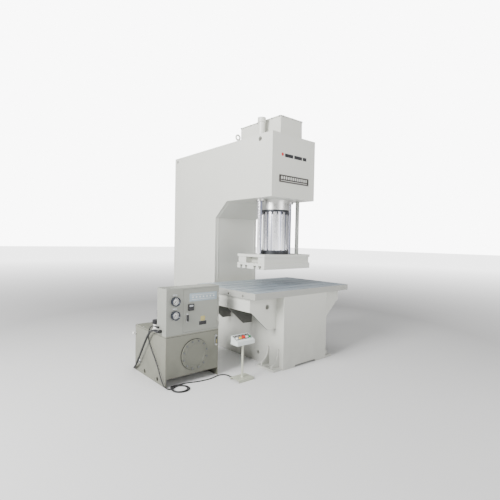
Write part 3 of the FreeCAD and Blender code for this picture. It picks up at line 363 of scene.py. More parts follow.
@dataclass(frozen=True)
class GroundFace(Enamel):
    """Enamel that leaves one level face as ground steel, and with it the T-slots cut into it."""

    steel: Colour = (0.56, 0.63, 0.69)
    low: float = 0.0
    high: float = 0.0
    slots: tuple[float, float, float] | None = None

    def make(self) -> bpy.types.Material:
        """Makes the material: steel between two heights and near the slots' middles.

        Returns:
            The material.
        """
        mix = self.recipe()
        painted = self.coat(mix)
        z = mix.place_on("Z")
        bare = mix.within(z, self.low, self.high)
        if self.slots:
            first, pitch, reach = self.slots
            y = mix.place_on("Y")
            half_width, depth, margin = 0.0256, 0.046, 0.03
            near = mix.within(mix.nearest(y, first, pitch), -half_width, half_width)
            row = mix.within(y, first - 2 * pitch - margin, first + 2 * pitch + margin)
            long = mix.within(mix.place_on("X"), -reach, reach)
            deep = mix.product(mix.within(z, self.low - depth, self.high), long)
            bare = mix.combined("MAXIMUM", bare, mix.product(deep, mix.product(near, row)))
        lines = mix.noise(620.0, 2.0, Grain.ACROSS)
        ground = mix.blend(lines, shade(self.steel, 0.86), shade(self.steel, 1.12))
        stains = mix.spread(mix.noise(5.0, 6.0), 0.5, 0.72, 0.0, 0.35)
        stained = mix.blend(stains, ground, shade(self.steel, 0.6))
        mix.colour(mix.blend(bare, painted, stained))
        mix.link(mix.spread(bare, 0, 1, 0.0, 0.75), mix.shader.inputs["Metallic"])
        return mix.material


@dataclass(frozen=True)
class Steel(Finish):
    """Bare steel with tool marks drawn out in one direction and faint oil stains."""

    grain: Grain = Grain.EVEN
    stain: float = 0.3
    metal: float = 0.9

    def make(self) -> bpy.types.Material:
        """Makes the material.

        Returns:
            The material.
        """
        mix = self.recipe()
        mix.constant(Metallic=self.metal)
        lines = mix.noise(620.0, 2.0, self.grain)
        first = mix.blend(lines, shade(self.tint, 0.86), shade(self.tint, 1.12))
        stains = mix.spread(mix.noise(5.0, 6.0), 0.5, 0.72, 0.0, self.stain)
        mix.colour(mix.blend(stains, first, shade(self.tint, 0.55)))
        mix.roughness(mix.spread(mix.noise(24.0, 5.0), 0.3, 0.7, self.gloss - 0.08, self.gloss + 0.1))
        mix.bump(lines, 0.15, 0.0003)
        return mix.material


@dataclass(frozen=True)
class Chrome(Finish):
    """Polished hard chrome with painted reflections: dark upright streaks in its colour that stand for the room
    around it mirrored in it.
    """

    def make(self) -> bpy.types.Material:
        """Makes the material.

        Returns:
            The material.
        """
        mix = self.recipe()
        mix.constant(Metallic=0.78)
        # painted reflection: broad and fine upright streaks darken the chrome's colour, standing for the room
        # mirrored in it
        streaks = mix.noise(21.0, 3.0, Grain.UPRIGHT)
        share = mix.spread(streaks, 0.50, 0.60, 0.0, 1.0)
        fine = mix.spread(mix.noise(90.0, 2.0, Grain.UPRIGHT), 0.3, 0.7, 0.0, 0.3)
        first = mix.blend(share, self.tint, (0.12, 0.13, 0.20))
        mix.colour(mix.blend(fine, first, shade(self.tint, 0.6)))
        mix.roughness(mix.spread(streaks, 0.35, 0.65, self.gloss, self.gloss + 0.14))
        return mix.material


@dataclass(frozen=True)
class Moulded(Finish):
    """Moulded plastic or rubber: a fine matt skin with a little dust."""

    skin: float = 900.0
    dust: float = 0.12

    def make(self) -> bpy.types.Material:
        """Makes the material.

        Returns:
            The material.
        """
        mix = self.recipe()
        dusty = tuple(part + (0.5 - part) * 0.35 for part in self.tint)
        share = mix.spread(mix.noise(30.0, 6.0), 0.45, 0.75, 0.0, self.dust)
        mix.colour(mix.blend(share, self.tint, dusty))
        mix.roughness(mix.spread(mix.noise(60.0, 4.0), 0.3, 0.7, self.gloss - 0.05, self.gloss + 0.07))
        mix.bump(mix.noise(self.skin, 2.0), 0.15, 0.0002)
        return mix.material


@dataclass(frozen=True)
class Clear(Finish):
    """Clear glass or acrylic with a few fine smears."""

    def make(self) -> bpy.types.Material:
        """Makes the material.

        Returns:
            The material.
        """
        mix = self.recipe()
        mix.constant(Alpha=0.12, IOR=1.3, Base_Color=(*self.tint, 1))
        mix.roughness(mix.spread(mix.noise(80.0, 5.0), 0.4, 0.8, 0.02, 0.12))
        return mix.material


FRAME_COLOUR = (0.63, 0.636, 0.585)
# painted shade: the frame's colour darkens towards the bottom, to 0.8 at the floor and none above 1.3 m
FRAME_PAINT = Enamel("frame_enamel", FRAME_COLOUR, 0.42, painted_shade_line=(0.0, 1.3, 0.80))
# painted shade under the table: the wings below their rail darken to a fifth of their colour, behind y = -1.175
WING_PAINT = Enamel("wing_enamel", FRAME_COLOUR, 0.42, painted_shade_line=(0.690, 0.716, 0.20), painted_shade_from=-1.175)
TABLE_PAINT = GroundFace(
    "table_enamel", (0.37, 0.375, 0.345), 0.42, low=0.9465, high=0.9475, slots=(-0.7325, 0.2, 0.8385)
)
SLIDE_PAINT = GroundFace("slide_enamel", FRAME_COLOUR, 0.42, low=1.1675, high=1.1688)
UNIT_PAINT = Enamel("cabinet_enamel", (0.275, 0.283, 0.252), 0.44, dust=0.6)
TANK_PAINT = Enamel("tank_enamel", (0.200, 0.202, 0.162), 0.46, dust=0.6)
COVER_PAINT = Enamel("cover_enamel", (0.165, 0.168, 0.135), 0.46, dust=0.5)
STAND_PAINT = Enamel("stand_enamel", (0.50, 0.52, 0.42), 0.42, dust=0.2)
CONSOLE_PAINT = Enamel("console_enamel", (0.66, 0.71, 0.69), 0.4)
ROD_PAINT = Enamel("rod_enamel", (0.30, 0.315, 0.29), 0.4)
MOTOR_PAINT = Enamel("motor_enamel", (0.12, 0.18, 0.22), 0.42, dust=0.0)
PUMP_IRON = Enamel("cast_iron", (0.09, 0.095, 0.10), 0.5, dust=0.0)
TURNED_STEEL = Steel("turned_steel", (0.62, 0.62, 0.60), 0.32, Grain.EVEN, 0.2, 0.9)
BLACK_STEEL = Steel("blackened_steel", (0.035, 0.037, 0.042), 0.45, Grain.EVEN, 0.1, 0.6)
BEZEL_STEEL = Steel("bezel_steel", (0.045, 0.05, 0.065), 0.3, Grain.EVEN, 0.1, 0.6)
ZINC = Steel("zinc", (0.52, 0.53, 0.53), 0.38, Grain.EVEN, 0.3, 0.9)
VALVE_STEEL = Steel("phosphated_steel", (0.16, 0.165, 0.17), 0.45, Grain.EVEN, 0.2, 0.7)
SENSOR_BRASS = Steel("plated_brass", (0.62, 0.50, 0.28), 0.3, Grain.EVEN, 0.1, 0.9)
HARD_CHROME = Chrome("hard_chrome", (0.95, 0.95, 0.98), 0.16)
BLACK_PLASTIC = Moulded("moulded_black", (0.018, 0.018, 0.02), 0.42)
BLACK_RUBBER = Moulded("soft_rubber", (0.016, 0.016, 0.017), 0.55)
DIAL_WHITE = Moulded("dial_white", (0.86, 0.87, 0.85), 0.4, dust=0.03)
PRINT_BLACK = Moulded("print_black", (0.015, 0.015, 0.018), 0.5, dust=0.03)
PRINT_RED = Moulded("print_red", (0.55, 0.03, 0.025), 0.45, dust=0.03)
PRINT_ORANGE = Moulded("print_orange", (0.50, 0.115, 0.05), 0.45, dust=0.03)
PRINT_TEAL = Moulded("print_teal", (0.055, 0.085, 0.09), 0.42, dust=0.06)
PLATE_DARK = Moulded("plate_dark", (0.045, 0.04, 0.036), 0.35, dust=0.08)
PLATE_LINE = Moulded("plate_line", (0.62, 0.62, 0.58), 0.4, dust=0.05)
PLATE_GREY = Moulded("plate_grey", (0.45, 0.48, 0.50), 0.42, dust=0.05)
PLATE_BLUE = Moulded("plate_blue", (0.30, 0.37, 0.42), 0.4, dust=0.05)
PLATE_OCHRE = Moulded("plate_ochre", (0.42, 0.36, 0.14), 0.42, dust=0.05)
NEEDLE_PAINT = Moulded("needle_lacquer", (0.02, 0.02, 0.022), 0.35, dust=0.02)
WHITE_GLOSS = Moulded("white_gloss", (0.84, 0.84, 0.80), 0.2, 300.0, 0.05)
YELLOW_GLOSS = Moulded("yellow_gloss", (0.80, 0.48, 0.02), 0.2, 300.0, 0.05)
RED_GLOSS = Moulded("red_gloss", (0.66, 0.035, 0.02), 0.2, 300.0, 0.05)
GREEN_GLOSS = Moulded("green_gloss", (0.015, 0.22, 0.06), 0.2, 300.0, 0.05)
GLASS = Clear("gauge_glass", (0.95, 0.97, 0.97), 0.03)

NODE_FINISH: dict[str, Finish] = {
    "side_plate_left": FRAME_PAINT, "side_plate_right": FRAME_PAINT, "head_front_plate": FRAME_PAINT,
    "head_bottom_plate": FRAME_PAINT, "head_top_plate": FRAME_PAINT, "throat_chamfer_plate": FRAME_PAINT,
    "column_front_plate": FRAME_PAINT, "column_rear_plate": FRAME_PAINT, "jaw_front_panel": FRAME_PAINT,
    "jaw_top_plate": FRAME_PAINT, "base_plate": FRAME_PAINT, "inner_stiffener_plates": FRAME_PAINT,
    "anchor_feet": FRAME_PAINT, "table_wing_left": WING_PAINT, "table_wing_right": WING_PAINT,
    "work_table": TABLE_PAINT, "cylinder_barrel": TURNED_STEEL, "gland_ring": TURNED_STEEL,
    "wiper_ring": BLACK_STEEL, "gland_bolts": BLACK_STEEL, "guide_bushes": TURNED_STEEL,
    "prefill_tank": FRAME_PAINT, "prefill_tank_lid": FRAME_PAINT, "head_breather": FRAME_PAINT,
    "ram": HARD_CHROME, "ram_flange": BLACK_STEEL, "ram_flange_bolts": BLACK_STEEL, "slide": SLIDE_PAINT,
    "guide_rod_left": HARD_CHROME, "guide_rod_right": HARD_CHROME, "trip_rod": ROD_PAINT,
    "travel_sensors": SENSOR_BRASS, "oil_tank": TANK_PAINT, "tank_cover": TANK_PAINT,
    "manhole_cover": COVER_PAINT, "manhole_bolts": VALVE_STEEL, "control_cabinet": UNIT_PAINT,
    "cabinet_door": UNIT_PAINT, "door_handle": BLACK_PLASTIC, "lower_gauge_needle": NEEDLE_PAINT,
    "upper_gauge_needle": NEEDLE_PAINT, "pressure_gauges": BEZEL_STEEL, "pump_motor": MOTOR_PAINT,
    "motor_shaft": TURNED_STEEL, "oil_pump": PUMP_IRON, "valve_block": VALVE_STEEL,
    "filler_breather": BLACK_PLASTIC, "pedestal_base": STAND_PAINT, "pedestal_post": STAND_PAINT,
    "console_box": CONSOLE_PAINT, "home_button": WHITE_GLOSS, "up_button": YELLOW_GLOSS,
    "stop_button": RED_GLOSS, "down_button": WHITE_GLOSS, "start_button": GREEN_GLOSS,
    "cord_fittings": BLACK_PLASTIC,
}


# ---------------------------------------------------------------- surfaces


@dataclass
class Surface:
    """Points, and faces that name them by number."""

    points: np.ndarray
    faces: list[tuple[int, ...]]

    def __add__(self, other: "Surface") -> "Surface":
        """Both surfaces as one.

        Args:
            other: the second surface.

        Returns:
            The joined surface.
        """
        start = len(self.points)
        moved = [tuple(i + start for i in face) for face in other.faces]
        return Surface(np.vstack([self.points, other.points]), self.faces + moved)

    def moved(self, shift: Point) -> "Surface":
        """The surface carried by a shift."""
        return Surface(self.points + np.asarray(shift), self.faces)

    def copies(self, shifts: np.ndarray) -> "Surface":
        """The surface repeated.

        Args:
            shifts: one row of x, y, z for each copy.

        Returns:
            All the copies as one surface.
        """
        points = (self.points[None] + np.asarray(shifts, float)[:, None]).reshape(-1, 3)
        count = len(self.points)
        faces = [tuple(i + n * count for i in face) for n in range(len(shifts)) for face in self.faces]
        return Surface(points, faces)

    def turned(self, axis: Point, up: Point = (0, 0, 1)) -> "Surface":
        """The surface with its own Z laid along an axis.

        Args:
            axis: where the surface's Z goes.
            up: where the surface's Y goes, as nearly as it can.

        Returns:
            The turned surface.
        """
        w = unit(np.asarray(axis, float))
        u = unit(np.cross(np.asarray(up, float), w))
        return Surface(self.points @ np.array([u, np.cross(w, u), w]), self.faces)


def nothing() -> Surface:
    """A surface without points, to which others are added."""
    return Surface(np.zeros((0, 3)), [])


def unit(vector: np.ndarray) -> np.ndarray:
    """The vector at length 1, along the last axis of an array."""
    return vector / np.linalg.norm(vector, axis=-1, keepdims=True)


def loft(rows: np.ndarray, looped: bool = False) -> Surface:
    """Skins closed outlines one after another: quads between each row and the next.

    Args:
        rows: an array of outlines, points and coordinates.
        looped: whether the last outline joins the first, as in a ring; otherwise both ends are capped.

    Returns:
        The closed surface, with its faces outwards.
    """
    count, width = rows.shape[:2]
    r = np.arange(count if looped else count - 1)[:, None]
    c = np.arange(width)[None]
    a, b = r * width, ((r + 1) % count) * width
    d = (c + 1) % width
    quads = np.stack([a + c, a + d, b + d, b + c], axis=-1).reshape(-1, 4)
    faces = [tuple(face) for face in quads.tolist()]
    points = rows.reshape(-1, 3)
    if not looped:
        faces += [tuple(range(width - 1, -1, -1)), tuple(range((count - 1) * width, count * width))]
    p, q, s, t = (points[quads[:, i]] for i in range(4))
    volume = np.einsum("ij,ij->", p, np.cross(q, s)) + np.einsum("ij,ij->", p, np.cross(s, t))
    if not looped:
        for end in faces[-2:]:
            ring = points[list(end)]
            volume += np.einsum("ij,ij->", np.repeat(ring[:1], len(ring) - 2, 0), np.cross(ring[1:-1], ring[2:]))
    return Surface(points, faces if volume > 0 else [face[::-1] for face in faces])


def lathe(profile: list[tuple[float, float]], sides: int = 48, looped: bool = False) -> Surface:
    """Turns a profile round Z: x = r cos t, y = r sin t, z as given.

    Args:
        profile: pairs of radius and height, each radius above 0.
        sides: points round the axis.
        looped: whether the profile closes on itself, as for a ring.

    Returns:
        The turned surface.
    """
    r, z = np.asarray(profile, float).T
    t = np.arange(sides) * TAU / sides
    rows = np.stack([np.outer(r, np.cos(t)), np.outer(r, np.sin(t)), np.repeat(z[:, None], sides, 1)], -1)
    return loft(rows, looped)


def tube(inner: float, outer: float, low: float, high: float, sides: int = 64) -> Surface:
    """A square-edged ring round Z: a rectangle's outline turned round the axis.

    Args:
        inner: the smaller radius.
        outer: the larger radius.
        low: where it starts along Z.
        high: where it ends along Z.
        sides: points round the axis.

    Returns:
        The ring.
    """
    return lathe([(inner, low), (outer, low), (outer, high), (inner, high)], sides, looped=True)


def hoop(
    centre: Point, first: Point, second: Point, reach: float, thick: float, counts: tuple[int, int]
) -> Surface:
    """A round bar bent into a circle: the centre, plus the reach outwards, plus the bar's own circle.

    Args:
        centre: of the circle.
        first: the direction of its first point.
        second: the direction of a point a quarter of the way round.
        reach: from the centre to the middle of the bar.
        thick: the bar's radius.
        counts: points round the circle and round the bar.

    Returns:
        The hoop.
    """
    t, s = (np.arange(count) * TAU / count for count in counts)
    out = np.cos(t)[:, None] * np.asarray(first, float) + np.sin(t)[:, None] * np.asarray(second, float)
    across = np.abs(np.cross(first, second))
    ring = np.asarray(centre) + reach * out
    section = np.cos(s)[None, :, None] * out[:, None] + np.sin(s)[None, :, None] * across
    return loft(ring[:, None] + thick * section, looped=True)


def spun(surface: Surface, turn: float) -> Surface:
    """The surface turned about Z by an angle in radians."""
    c, s = math.cos(turn), math.sin(turn)
    return Surface(surface.points @ np.array([[c, s, 0], [-s, c, 0], [0, 0, 1]]), surface.faces)


def rounded(width: float, height: float, radius: float, steps: int = 4) -> np.ndarray:
    """A rectangle's outline with round corners: four quarter circles, anticlockwise.

    Args:
        width: size along x.
        height: size along y.
        radius: of the corners.
        steps: points in each corner, less one.

    Returns:
        The outline's points, x and y.
    """
    t = np.concatenate([np.linspace(k, k + 1, steps + 1) for k in range(4)]) * TAU / 4
    corner = np.repeat([[1, 1], [-1, 1], [-1, -1], [1, -1]], steps + 1, 0)
    centre = corner * (np.array([width, height]) / 2 - radius)
    return centre + radius * np.stack([np.cos(t), np.sin(t)], -1)


def slab(width: float, height: float, thick: float, radius: float, soft: float = 0.0) -> Surface:
    """A plate: a rounded outline carried along Z, drawn in at both ends by a quarter circle.

    Args:
        width: size along x.
        height: size along y.
        thick: size along z, from 0.
        radius: of the outline's corners.
        soft: of the rounding along the edges, no more than half the thickness and the radius.

    Returns:
        The plate.
    """
    soft = soft or min(radius * 0.6, thick * 0.4)
    t = np.linspace(0, TAU / 4, 4)
    inset = np.concatenate([soft * (1 - np.sin(t)), (soft * (1 - np.sin(t)))[::-1]])
    level = np.concatenate([soft * (1 - np.cos(t)), thick - (soft * (1 - np.cos(t)))[::-1]])
    rows = np.stack([
        np.column_stack([rounded(width - 2 * i, height - 2 * i, max(radius - i, 1e-5)), np.full(20, z)])
        for i, z in zip(inset, level)
    ])
    return loft(rows)


def pipe(path: np.ndarray, radius: float | np.ndarray, sides: int = 12, up: Point = (0, 0, 1)) -> Surface:
    """A round bar carried along a path: each ring lies square to the path's direction.

    Args:
        path: the points it follows.
        radius: one number, or one for each point.
        sides: points round the bar.
        up: a direction that the path never takes.

    Returns:
        The bar, closed at both ends.
    """
    path = np.asarray(path, float)
    along = unit(np.gradient(path, axis=0))
    side = unit(np.cross(along, np.asarray(up, float)))
    other = np.cross(along, side)
    t = np.arange(sides) * TAU / sides
    size = np.broadcast_to(np.asarray(radius, float), (len(path),))[:, None, None]
    ring = side[:, None] * np.cos(t)[None, :, None] + other[:, None] * np.sin(t)[None, :, None]
    return loft(path[:, None] + size * ring)


def smoothed(knots: np.ndarray, count: int = 60, width: float = 0.11) -> np.ndarray:
    """A soft path past some points: each place is an average of the points, weighted by a bell curve.

    Args:
        knots: the points; the path starts at the first and ends at the last.
        count: places along the path.
        width: of the bell curve, as a share of the path.

    Returns:
        The path's places.
    """
    s = np.linspace(0, 1, count)
    k = np.linspace(0, 1, len(knots))
    weight = np.exp(-((s[:, None] - k[None]) / width) ** 2)
    weight[0], weight[-1] = np.eye(len(k))[0], np.eye(len(k))[-1]
    return (weight / weight.sum(1, keepdims=True)) @ knots


def hexagon_head(across: float, height: float) -> Surface:
    """A bolt's head: six sides, drawn in at the top by a cone.

    Args:
        across: from one flat to the opposite one.
        height: of the head.

    Returns:
        The head, standing on z = 0.
    """
    t = np.arange(6) * TAU / 6
    ring = np.stack([np.cos(t), np.sin(t)], -1) * across / math.sqrt(3)
    rows = [(1.0, 0.0), (1.0, height * 0.85), (0.86, height)]
    return loft(np.stack([np.column_stack([ring * k, np.full(6, z)]) for k, z in rows]))


def words(text: str, high: float) -> Surface:
    """Flat figures for a scale, turned into a thin mesh and centred.

    Args:
        text: the figures.
        high: their height.

    Returns:
        The figures, lying in x and y.
    """
    curve = bpy.data.curves.new("figures", "FONT")
    curve.body, curve.size, curve.extrude = text, high, high * 0.02
    curve.align_x, curve.align_y = "CENTER", "CENTER"
    holder = bpy.data.objects.new("figures", curve)
    mesh = bpy.data.meshes.new_from_object(holder)
    points = np.empty(len(mesh.vertices) * 3)
    mesh.vertices.foreach_get("co", points)
    faces = [tuple(face.vertices) for face in mesh.polygons]
    bpy.data.objects.remove(holder)
    bpy.data.curves.remove(curve)
    bpy.data.meshes.remove(mesh)
    return Surface(points.reshape(-1, 3), faces)


def add_piece(name: str, surface: Surface, finish: Finish, body: str = "frame") -> bpy.types.Object:
    """Makes a piece from a surface, gives it its finish and lets it ride on a body.

    Args:
        name: the piece's name.
        surface: its shape, in place.
        finish: its finish.
        body: the body that it moves with.

    Returns:
        The piece.
    """
    mesh = bpy.data.meshes.new(name)
    mesh.from_pydata(surface.points.tolist(), [], surface.faces)
    mesh.shade_smooth()
    mesh.set_sharp_from_angle(angle=math.radians(38))
    mesh.materials.append(finish.material())
    piece = bpy.data.objects.new(name, mesh)
    bpy.context.scene.collection.objects.link(piece)
    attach(piece, body)
    return piece


def soften(nodes: dict[str, bpy.types.Object], name: str, width: float, body: str) -> None:
    """Stands a copy of a node in its place, with its loose triangles merged and its edges rounded.

    Args:
        nodes: the frame's nodes.
        name: the node.
        width: of the rounding, in metres.
        body: the body that it moves with.
    """
    mesh = nodes[name].data.copy()
    work = bmesh.new()
    work.from_mesh(mesh)
    bmesh.ops.remove_doubles(work, verts=work.verts, dist=1e-5)
    bmesh.ops.dissolve_limit(work, angle_limit=0.01, verts=work.verts, edges=work.edges)
    work.to_mesh(mesh)
    work.free()
    mesh.name = f"{name}_softened"
    mesh.shade_smooth()
    mesh.set_sharp_from_angle(angle=math.radians(30))
    mesh.materials.clear()
    mesh.materials.append(NODE_FINISH[name].material())
    piece = bpy.data.objects.new(f"{name}_softened", mesh)
    bpy.context.scene.collection.objects.link(piece)
    rounding = piece.modifiers.new("edges", "BEVEL")
    rounding.width, rounding.segments = width, 2
    rounding.limit_method, rounding.angle_limit = "ANGLE", math.radians(40)
    rounding.harden_normals = True
    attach(piece, body)
    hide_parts(name)


# ---------------------------------------------------------------- the press


@dataclass
class Frame:
    """The welded frame's plates, seams and fittings."""

    front: float = -1.0555
    half: float = 0.35
    seam: float = 0.004

    def weld(self, start: Point, end: Point) -> Surface:
        """A weld along a straight joint: a bar whose radius swells once every 6 mm.

        Args:
            start: where it starts.
            end: where it ends.

        Returns:
            The weld.
        """
        a, b = np.asarray(start, float), np.asarray(end, float)
        length = float(np.linalg.norm(b - a))
        t = np.linspace(0, 1, max(8, int(length / 0.003)))
        size = self.seam * (1 + 0.13 * np.sin(TAU * t * length / 0.006))
        size[[0, -1]] *= 0.4
        up = (0, 0, 1) if abs(b[2] - a[2]) < 0.5 * length else (1, 0, 0)
        return pipe(a + t[:, None] * (b - a), size, 8, up)

    def seams(self) -> None:
        """Welds where the front, chamfer and column plates meet the side plates."""
        head, column = self.front + 0.003, 0.1125
        made = nothing()
        for x in (-self.half, self.half):
            made += self.weld((x, head, 2.084), (x, head, 2.876))
            made += self.weld((x, column, 0.95), (x, column, 1.855))
            made += self.weld((x, column, 1.857), (x, -0.1495, 2.080))
            made += self.weld((x, -1.3080, 0.03), (x, -1.3080, 0.868))
        add_piece("frame_welds", made, FRAME_PAINT)

    def foot_welds(self) -> None:
        """Fillet welds where the feet and the table wings meet the side plates."""
        base = 0.0255
        made = nothing()
        for side in (-1, 1):
            x = 0.401 * side
            for y in (-1.1485, 1.1485):
                made += self.weld((x, y - 0.15, base), (x, y + 0.15, base))
                for near in (-0.085, 0.085):
                    for face in (-0.011, 0.011):
                        made += self.weld((x, y + near + face, 0.03), (x, y + near + face, 0.235))
            for rib in (-1.168, -0.728, -0.288):
                for face in (-0.0135, 0.0135):
                    made += self.weld((x, rib + face, 0.485), (x, rib + face, 0.868))
        add_piece("foot_and_wing_welds", made, FRAME_PAINT)

    def facing(self, surface: Surface, x: float, z: float, y: float | None = None) -> Surface:
        """A flat piece turned to face the operator and set on a front face.

        Args:
            surface: the piece, with its face towards +Z.
            x: its place across.
            z: its height.
            y: the face's place, or the head's front.

        Returns:
            The piece in place.
        """
        return surface.turned((0, -1, 0)).moved((x, self.front if y is None else y, z))

    def plates(self) -> None:
        """The dark plate with its plain pale marks, and the plain bars and the red spot above it."""
        z, face, count = 2.317, 0.0028, 12
        add_piece("head_plate", self.facing(slab(0.556, 0.095, 0.003, 0.004), 0, z), PLATE_DARK)
        spots = np.column_stack([np.linspace(-0.228, 0.228, count), np.full(count, 0.012), np.full(count, face)])
        marks = slab(0.024, 0.036, 0.0008, 0.004).copies(spots)
        marks += slab(0.490, 0.006, 0.0008, 0.002).moved((0, -0.026, face))
        add_piece("head_plate_marks", self.facing(marks, 0, z), PLATE_LINE)
        corners = np.array([(x, y, face) for x in (-0.27, 0.27) for y in (-0.039, 0.039)])
        rivets = lathe([(0.004, 0), (0.004, 0.001), (0.0025, 0.0022), (0.0006, 0.0026)], 16).copies(corners)
        add_piece("head_plate_rivets", self.facing(rivets, 0, z), ZINC)
        bars = slab(0.150, 0.044, 0.0016, 0.004).copies(np.array([(-0.105, 0, 0), (0.065, 0, 0)]))
        bars += slab(0.070, 0.044, 0.0016, 0.004).moved((0.190, 0, 0))
        add_piece("head_bars", self.facing(bars, 0, 2.612), PRINT_BLACK)
        spot = lathe([(0.021, 0), (0.021, 0.0014), (0.019, 0.0018)], 40)
        add_piece("head_spot", self.facing(spot, -0.222, 2.618), PRINT_RED)

    def top_fittings(self) -> None:
        """The lifting eye behind the prefill box and the bolts along the sides and front of its lid."""
        x, y = -0.218, -0.150
        stem = [(0.030, 2.880), (0.030, 2.898), (0.016, 2.906), (0.014, 2.960), (0.010, 2.972)]
        eye = hoop((x, y, 3.000), (1, 0, 0), (0, 0, 1), 0.034, 0.012, (40, 14))
        eye += lathe(stem, 32).moved((x, y, 0))
        add_piece("lifting_eye", eye, FRAME_PAINT)
        head = hexagon_head(0.017, 0.010)
        left = np.array([(-0.2065, y, 3.1205) for y in (-0.975, -0.835, -0.695, -0.555, -0.415, -0.210)])
        made = head.turned((-1, 0, 0)).copies(left)
        made += head.turned((1, 0, 0)).copies(left * [-1, 1, 1])
        front = np.array([(x, -0.9955, 3.1205) for x in (-0.17, 0.0, 0.17)])
        made += head.turned((0, -1, 0)).copies(front)
        add_piece("lid_bolts", Surface(made.points - [0, 0, 0.004], made.faces), ZINC)

    def build(self) -> None:
        """Builds the frame's own pieces."""
        self.seams()
        self.foot_welds()
        self.plates()
        self.top_fittings()


@dataclass
class PressHead:
    """What shows under the head: gland bands, bush screws and the slide's joints."""

    ram_y: float = -0.7155
    rods: tuple[float, float] = (-0.278, 0.278)

    def gland(self) -> None:
        """Two turned bands round the gland ring."""
        made = nothing()
        for z in (1.962, 2.050):
            made += tube(0.1885, 0.1925, z, z + 0.012, 96)
        add_piece("gland_bands", made.moved((0, self.ram_y, 0)), TURNED_STEEL)

    def bush_screws(self) -> None:
        """Six screws under each guide bush's flange."""
        t = np.arange(6) * TAU / 6 + TAU / 12
        ring = np.stack([0.046 * np.cos(t), self.ram_y + 0.046 * np.sin(t), np.full(6, 2.0535)], -1)
        spots = np.vstack([ring + [x, 0, 0] for x in self.rods])
        head = lathe([(0.0065, -0.0005), (0.0065, 0.005), (0.005, 0.006), (0.0036, 0.006), (0.0032, 0.002)], 18)
        add_piece("bush_screws", head.turned((0, 0, -1), (0, 1, 0)).copies(spots), BLACK_STEEL)

    def slide_seams(self) -> None:
        """Fillet welds along the slide's front and rear beams."""
        weld = Frame(seam=0.0035).weld
        made = nothing()
        for y in (self.ram_y - 0.2535, self.ram_y + 0.2535):
            for z in (1.3225, 1.2435):
                made += weld((-0.425, y, z), (0.425, y, z))
        add_piece("slide_welds", made, FRAME_PAINT, "slide_unit")

    def build(self) -> None:
        """Builds the pieces."""
        self.gland()
        self.bush_screws()
        self.slide_seams()


# ---------------------------------------------------------------- the power unit


@dataclass
class GaugeFace:
    """A round gauge: white dial, scale marks, figures, glass and bezel."""

    x: float = -1.640
    front: float = -0.940
    radius: float = 0.0395
    start: float = 225.0
    sweep: float = 270.0

    def set(self, surface: Surface, depth: float, z: float) -> Surface:
        """A flat piece of the dial, turned to the front at a depth outside the cabinet."""
        return surface.turned((0, -1, 0)).moved((self.x, self.front - depth, z))

    def marks(self) -> Surface:
        """Scale marks, a long one at every sixth of the sweep: bars turned round the centre.

        Returns:
            The marks, lying in x and y.
        """
        made = nothing()
        for i in range(31):
            turn = math.radians(self.start - self.sweep * i / 30)
            long = i % 5 == 0
            bar = slab(0.0070 if long else 0.0038, 0.0012 if long else 0.0007, 0.0004, 0.0002)
            reach = self.radius - 0.0075 + (0.0 if long else 0.0016)
            made += spun(bar, turn).moved((reach * math.cos(turn), reach * math.sin(turn), 0))
        return made

    def figures(self, top: int) -> Surface:
        """Plain numbers at every fifth mark, on a circle inside the marks.

        Args:
            top: the last number; the first is 0.

        Returns:
            The numbers, lying in x and y.
        """
        made = nothing()
        for i in range(7):
            turn = math.radians(self.start - self.sweep * i / 6)
            made += words(str(top * i // 6), 0.0075).moved((0.0255 * math.cos(turn), 0.0255 * math.sin(turn), 0))
        return made

    def build(self, label: str, z: float, top: int) -> None:
        """Builds one gauge.

        Args:
            label: what its pieces are called.
            z: its height.
            top: the last number on its scale.
        """
        r = self.radius
        dial = tube(0.0015, r, 0, 0.0004)
        add_piece(f"{label}_dial", self.set(dial, 0.0121, z), DIAL_WHITE)
        add_piece(f"{label}_marks", self.set(self.marks() + self.figures(top), 0.0125, z), PRINT_BLACK)
        zone = tube(r - 0.0145, r - 0.0125, 0, 0.0003)
        add_piece(f"{label}_ring", self.set(zone, 0.0125, z), PRINT_BLACK)
        hub = lathe([(0.0052, 0), (0.0052, 0.002), (0.0036, 0.0028)], 24)
        needle = f"{label.split('_')[0]}_needle"
        add_piece(f"{label}_hub", self.set(hub, 0.0176, z), NEEDLE_PAINT, needle)
        glass = lathe([(r, 0), (r, 0.002), (r - 0.001, 0.0025)], 64)
        add_piece(f"{label}_glass", self.set(glass, 0.0245, z), GLASS)
        bezel = [
            (r - 0.0025, 0.025), (r - 0.002, 0.031), (r + 0.001, 0.0345), (r + 0.006, 0.0345),
            (r + 0.0085, 0.031), (r + 0.0085, 0.016), (r + 0.0045, 0.014), (r + 0.0045, 0.024),
        ]
        add_piece(f"{label}_bezel", self.set(lathe(bezel, 64, looped=True), 0, z), BEZEL_STEEL)


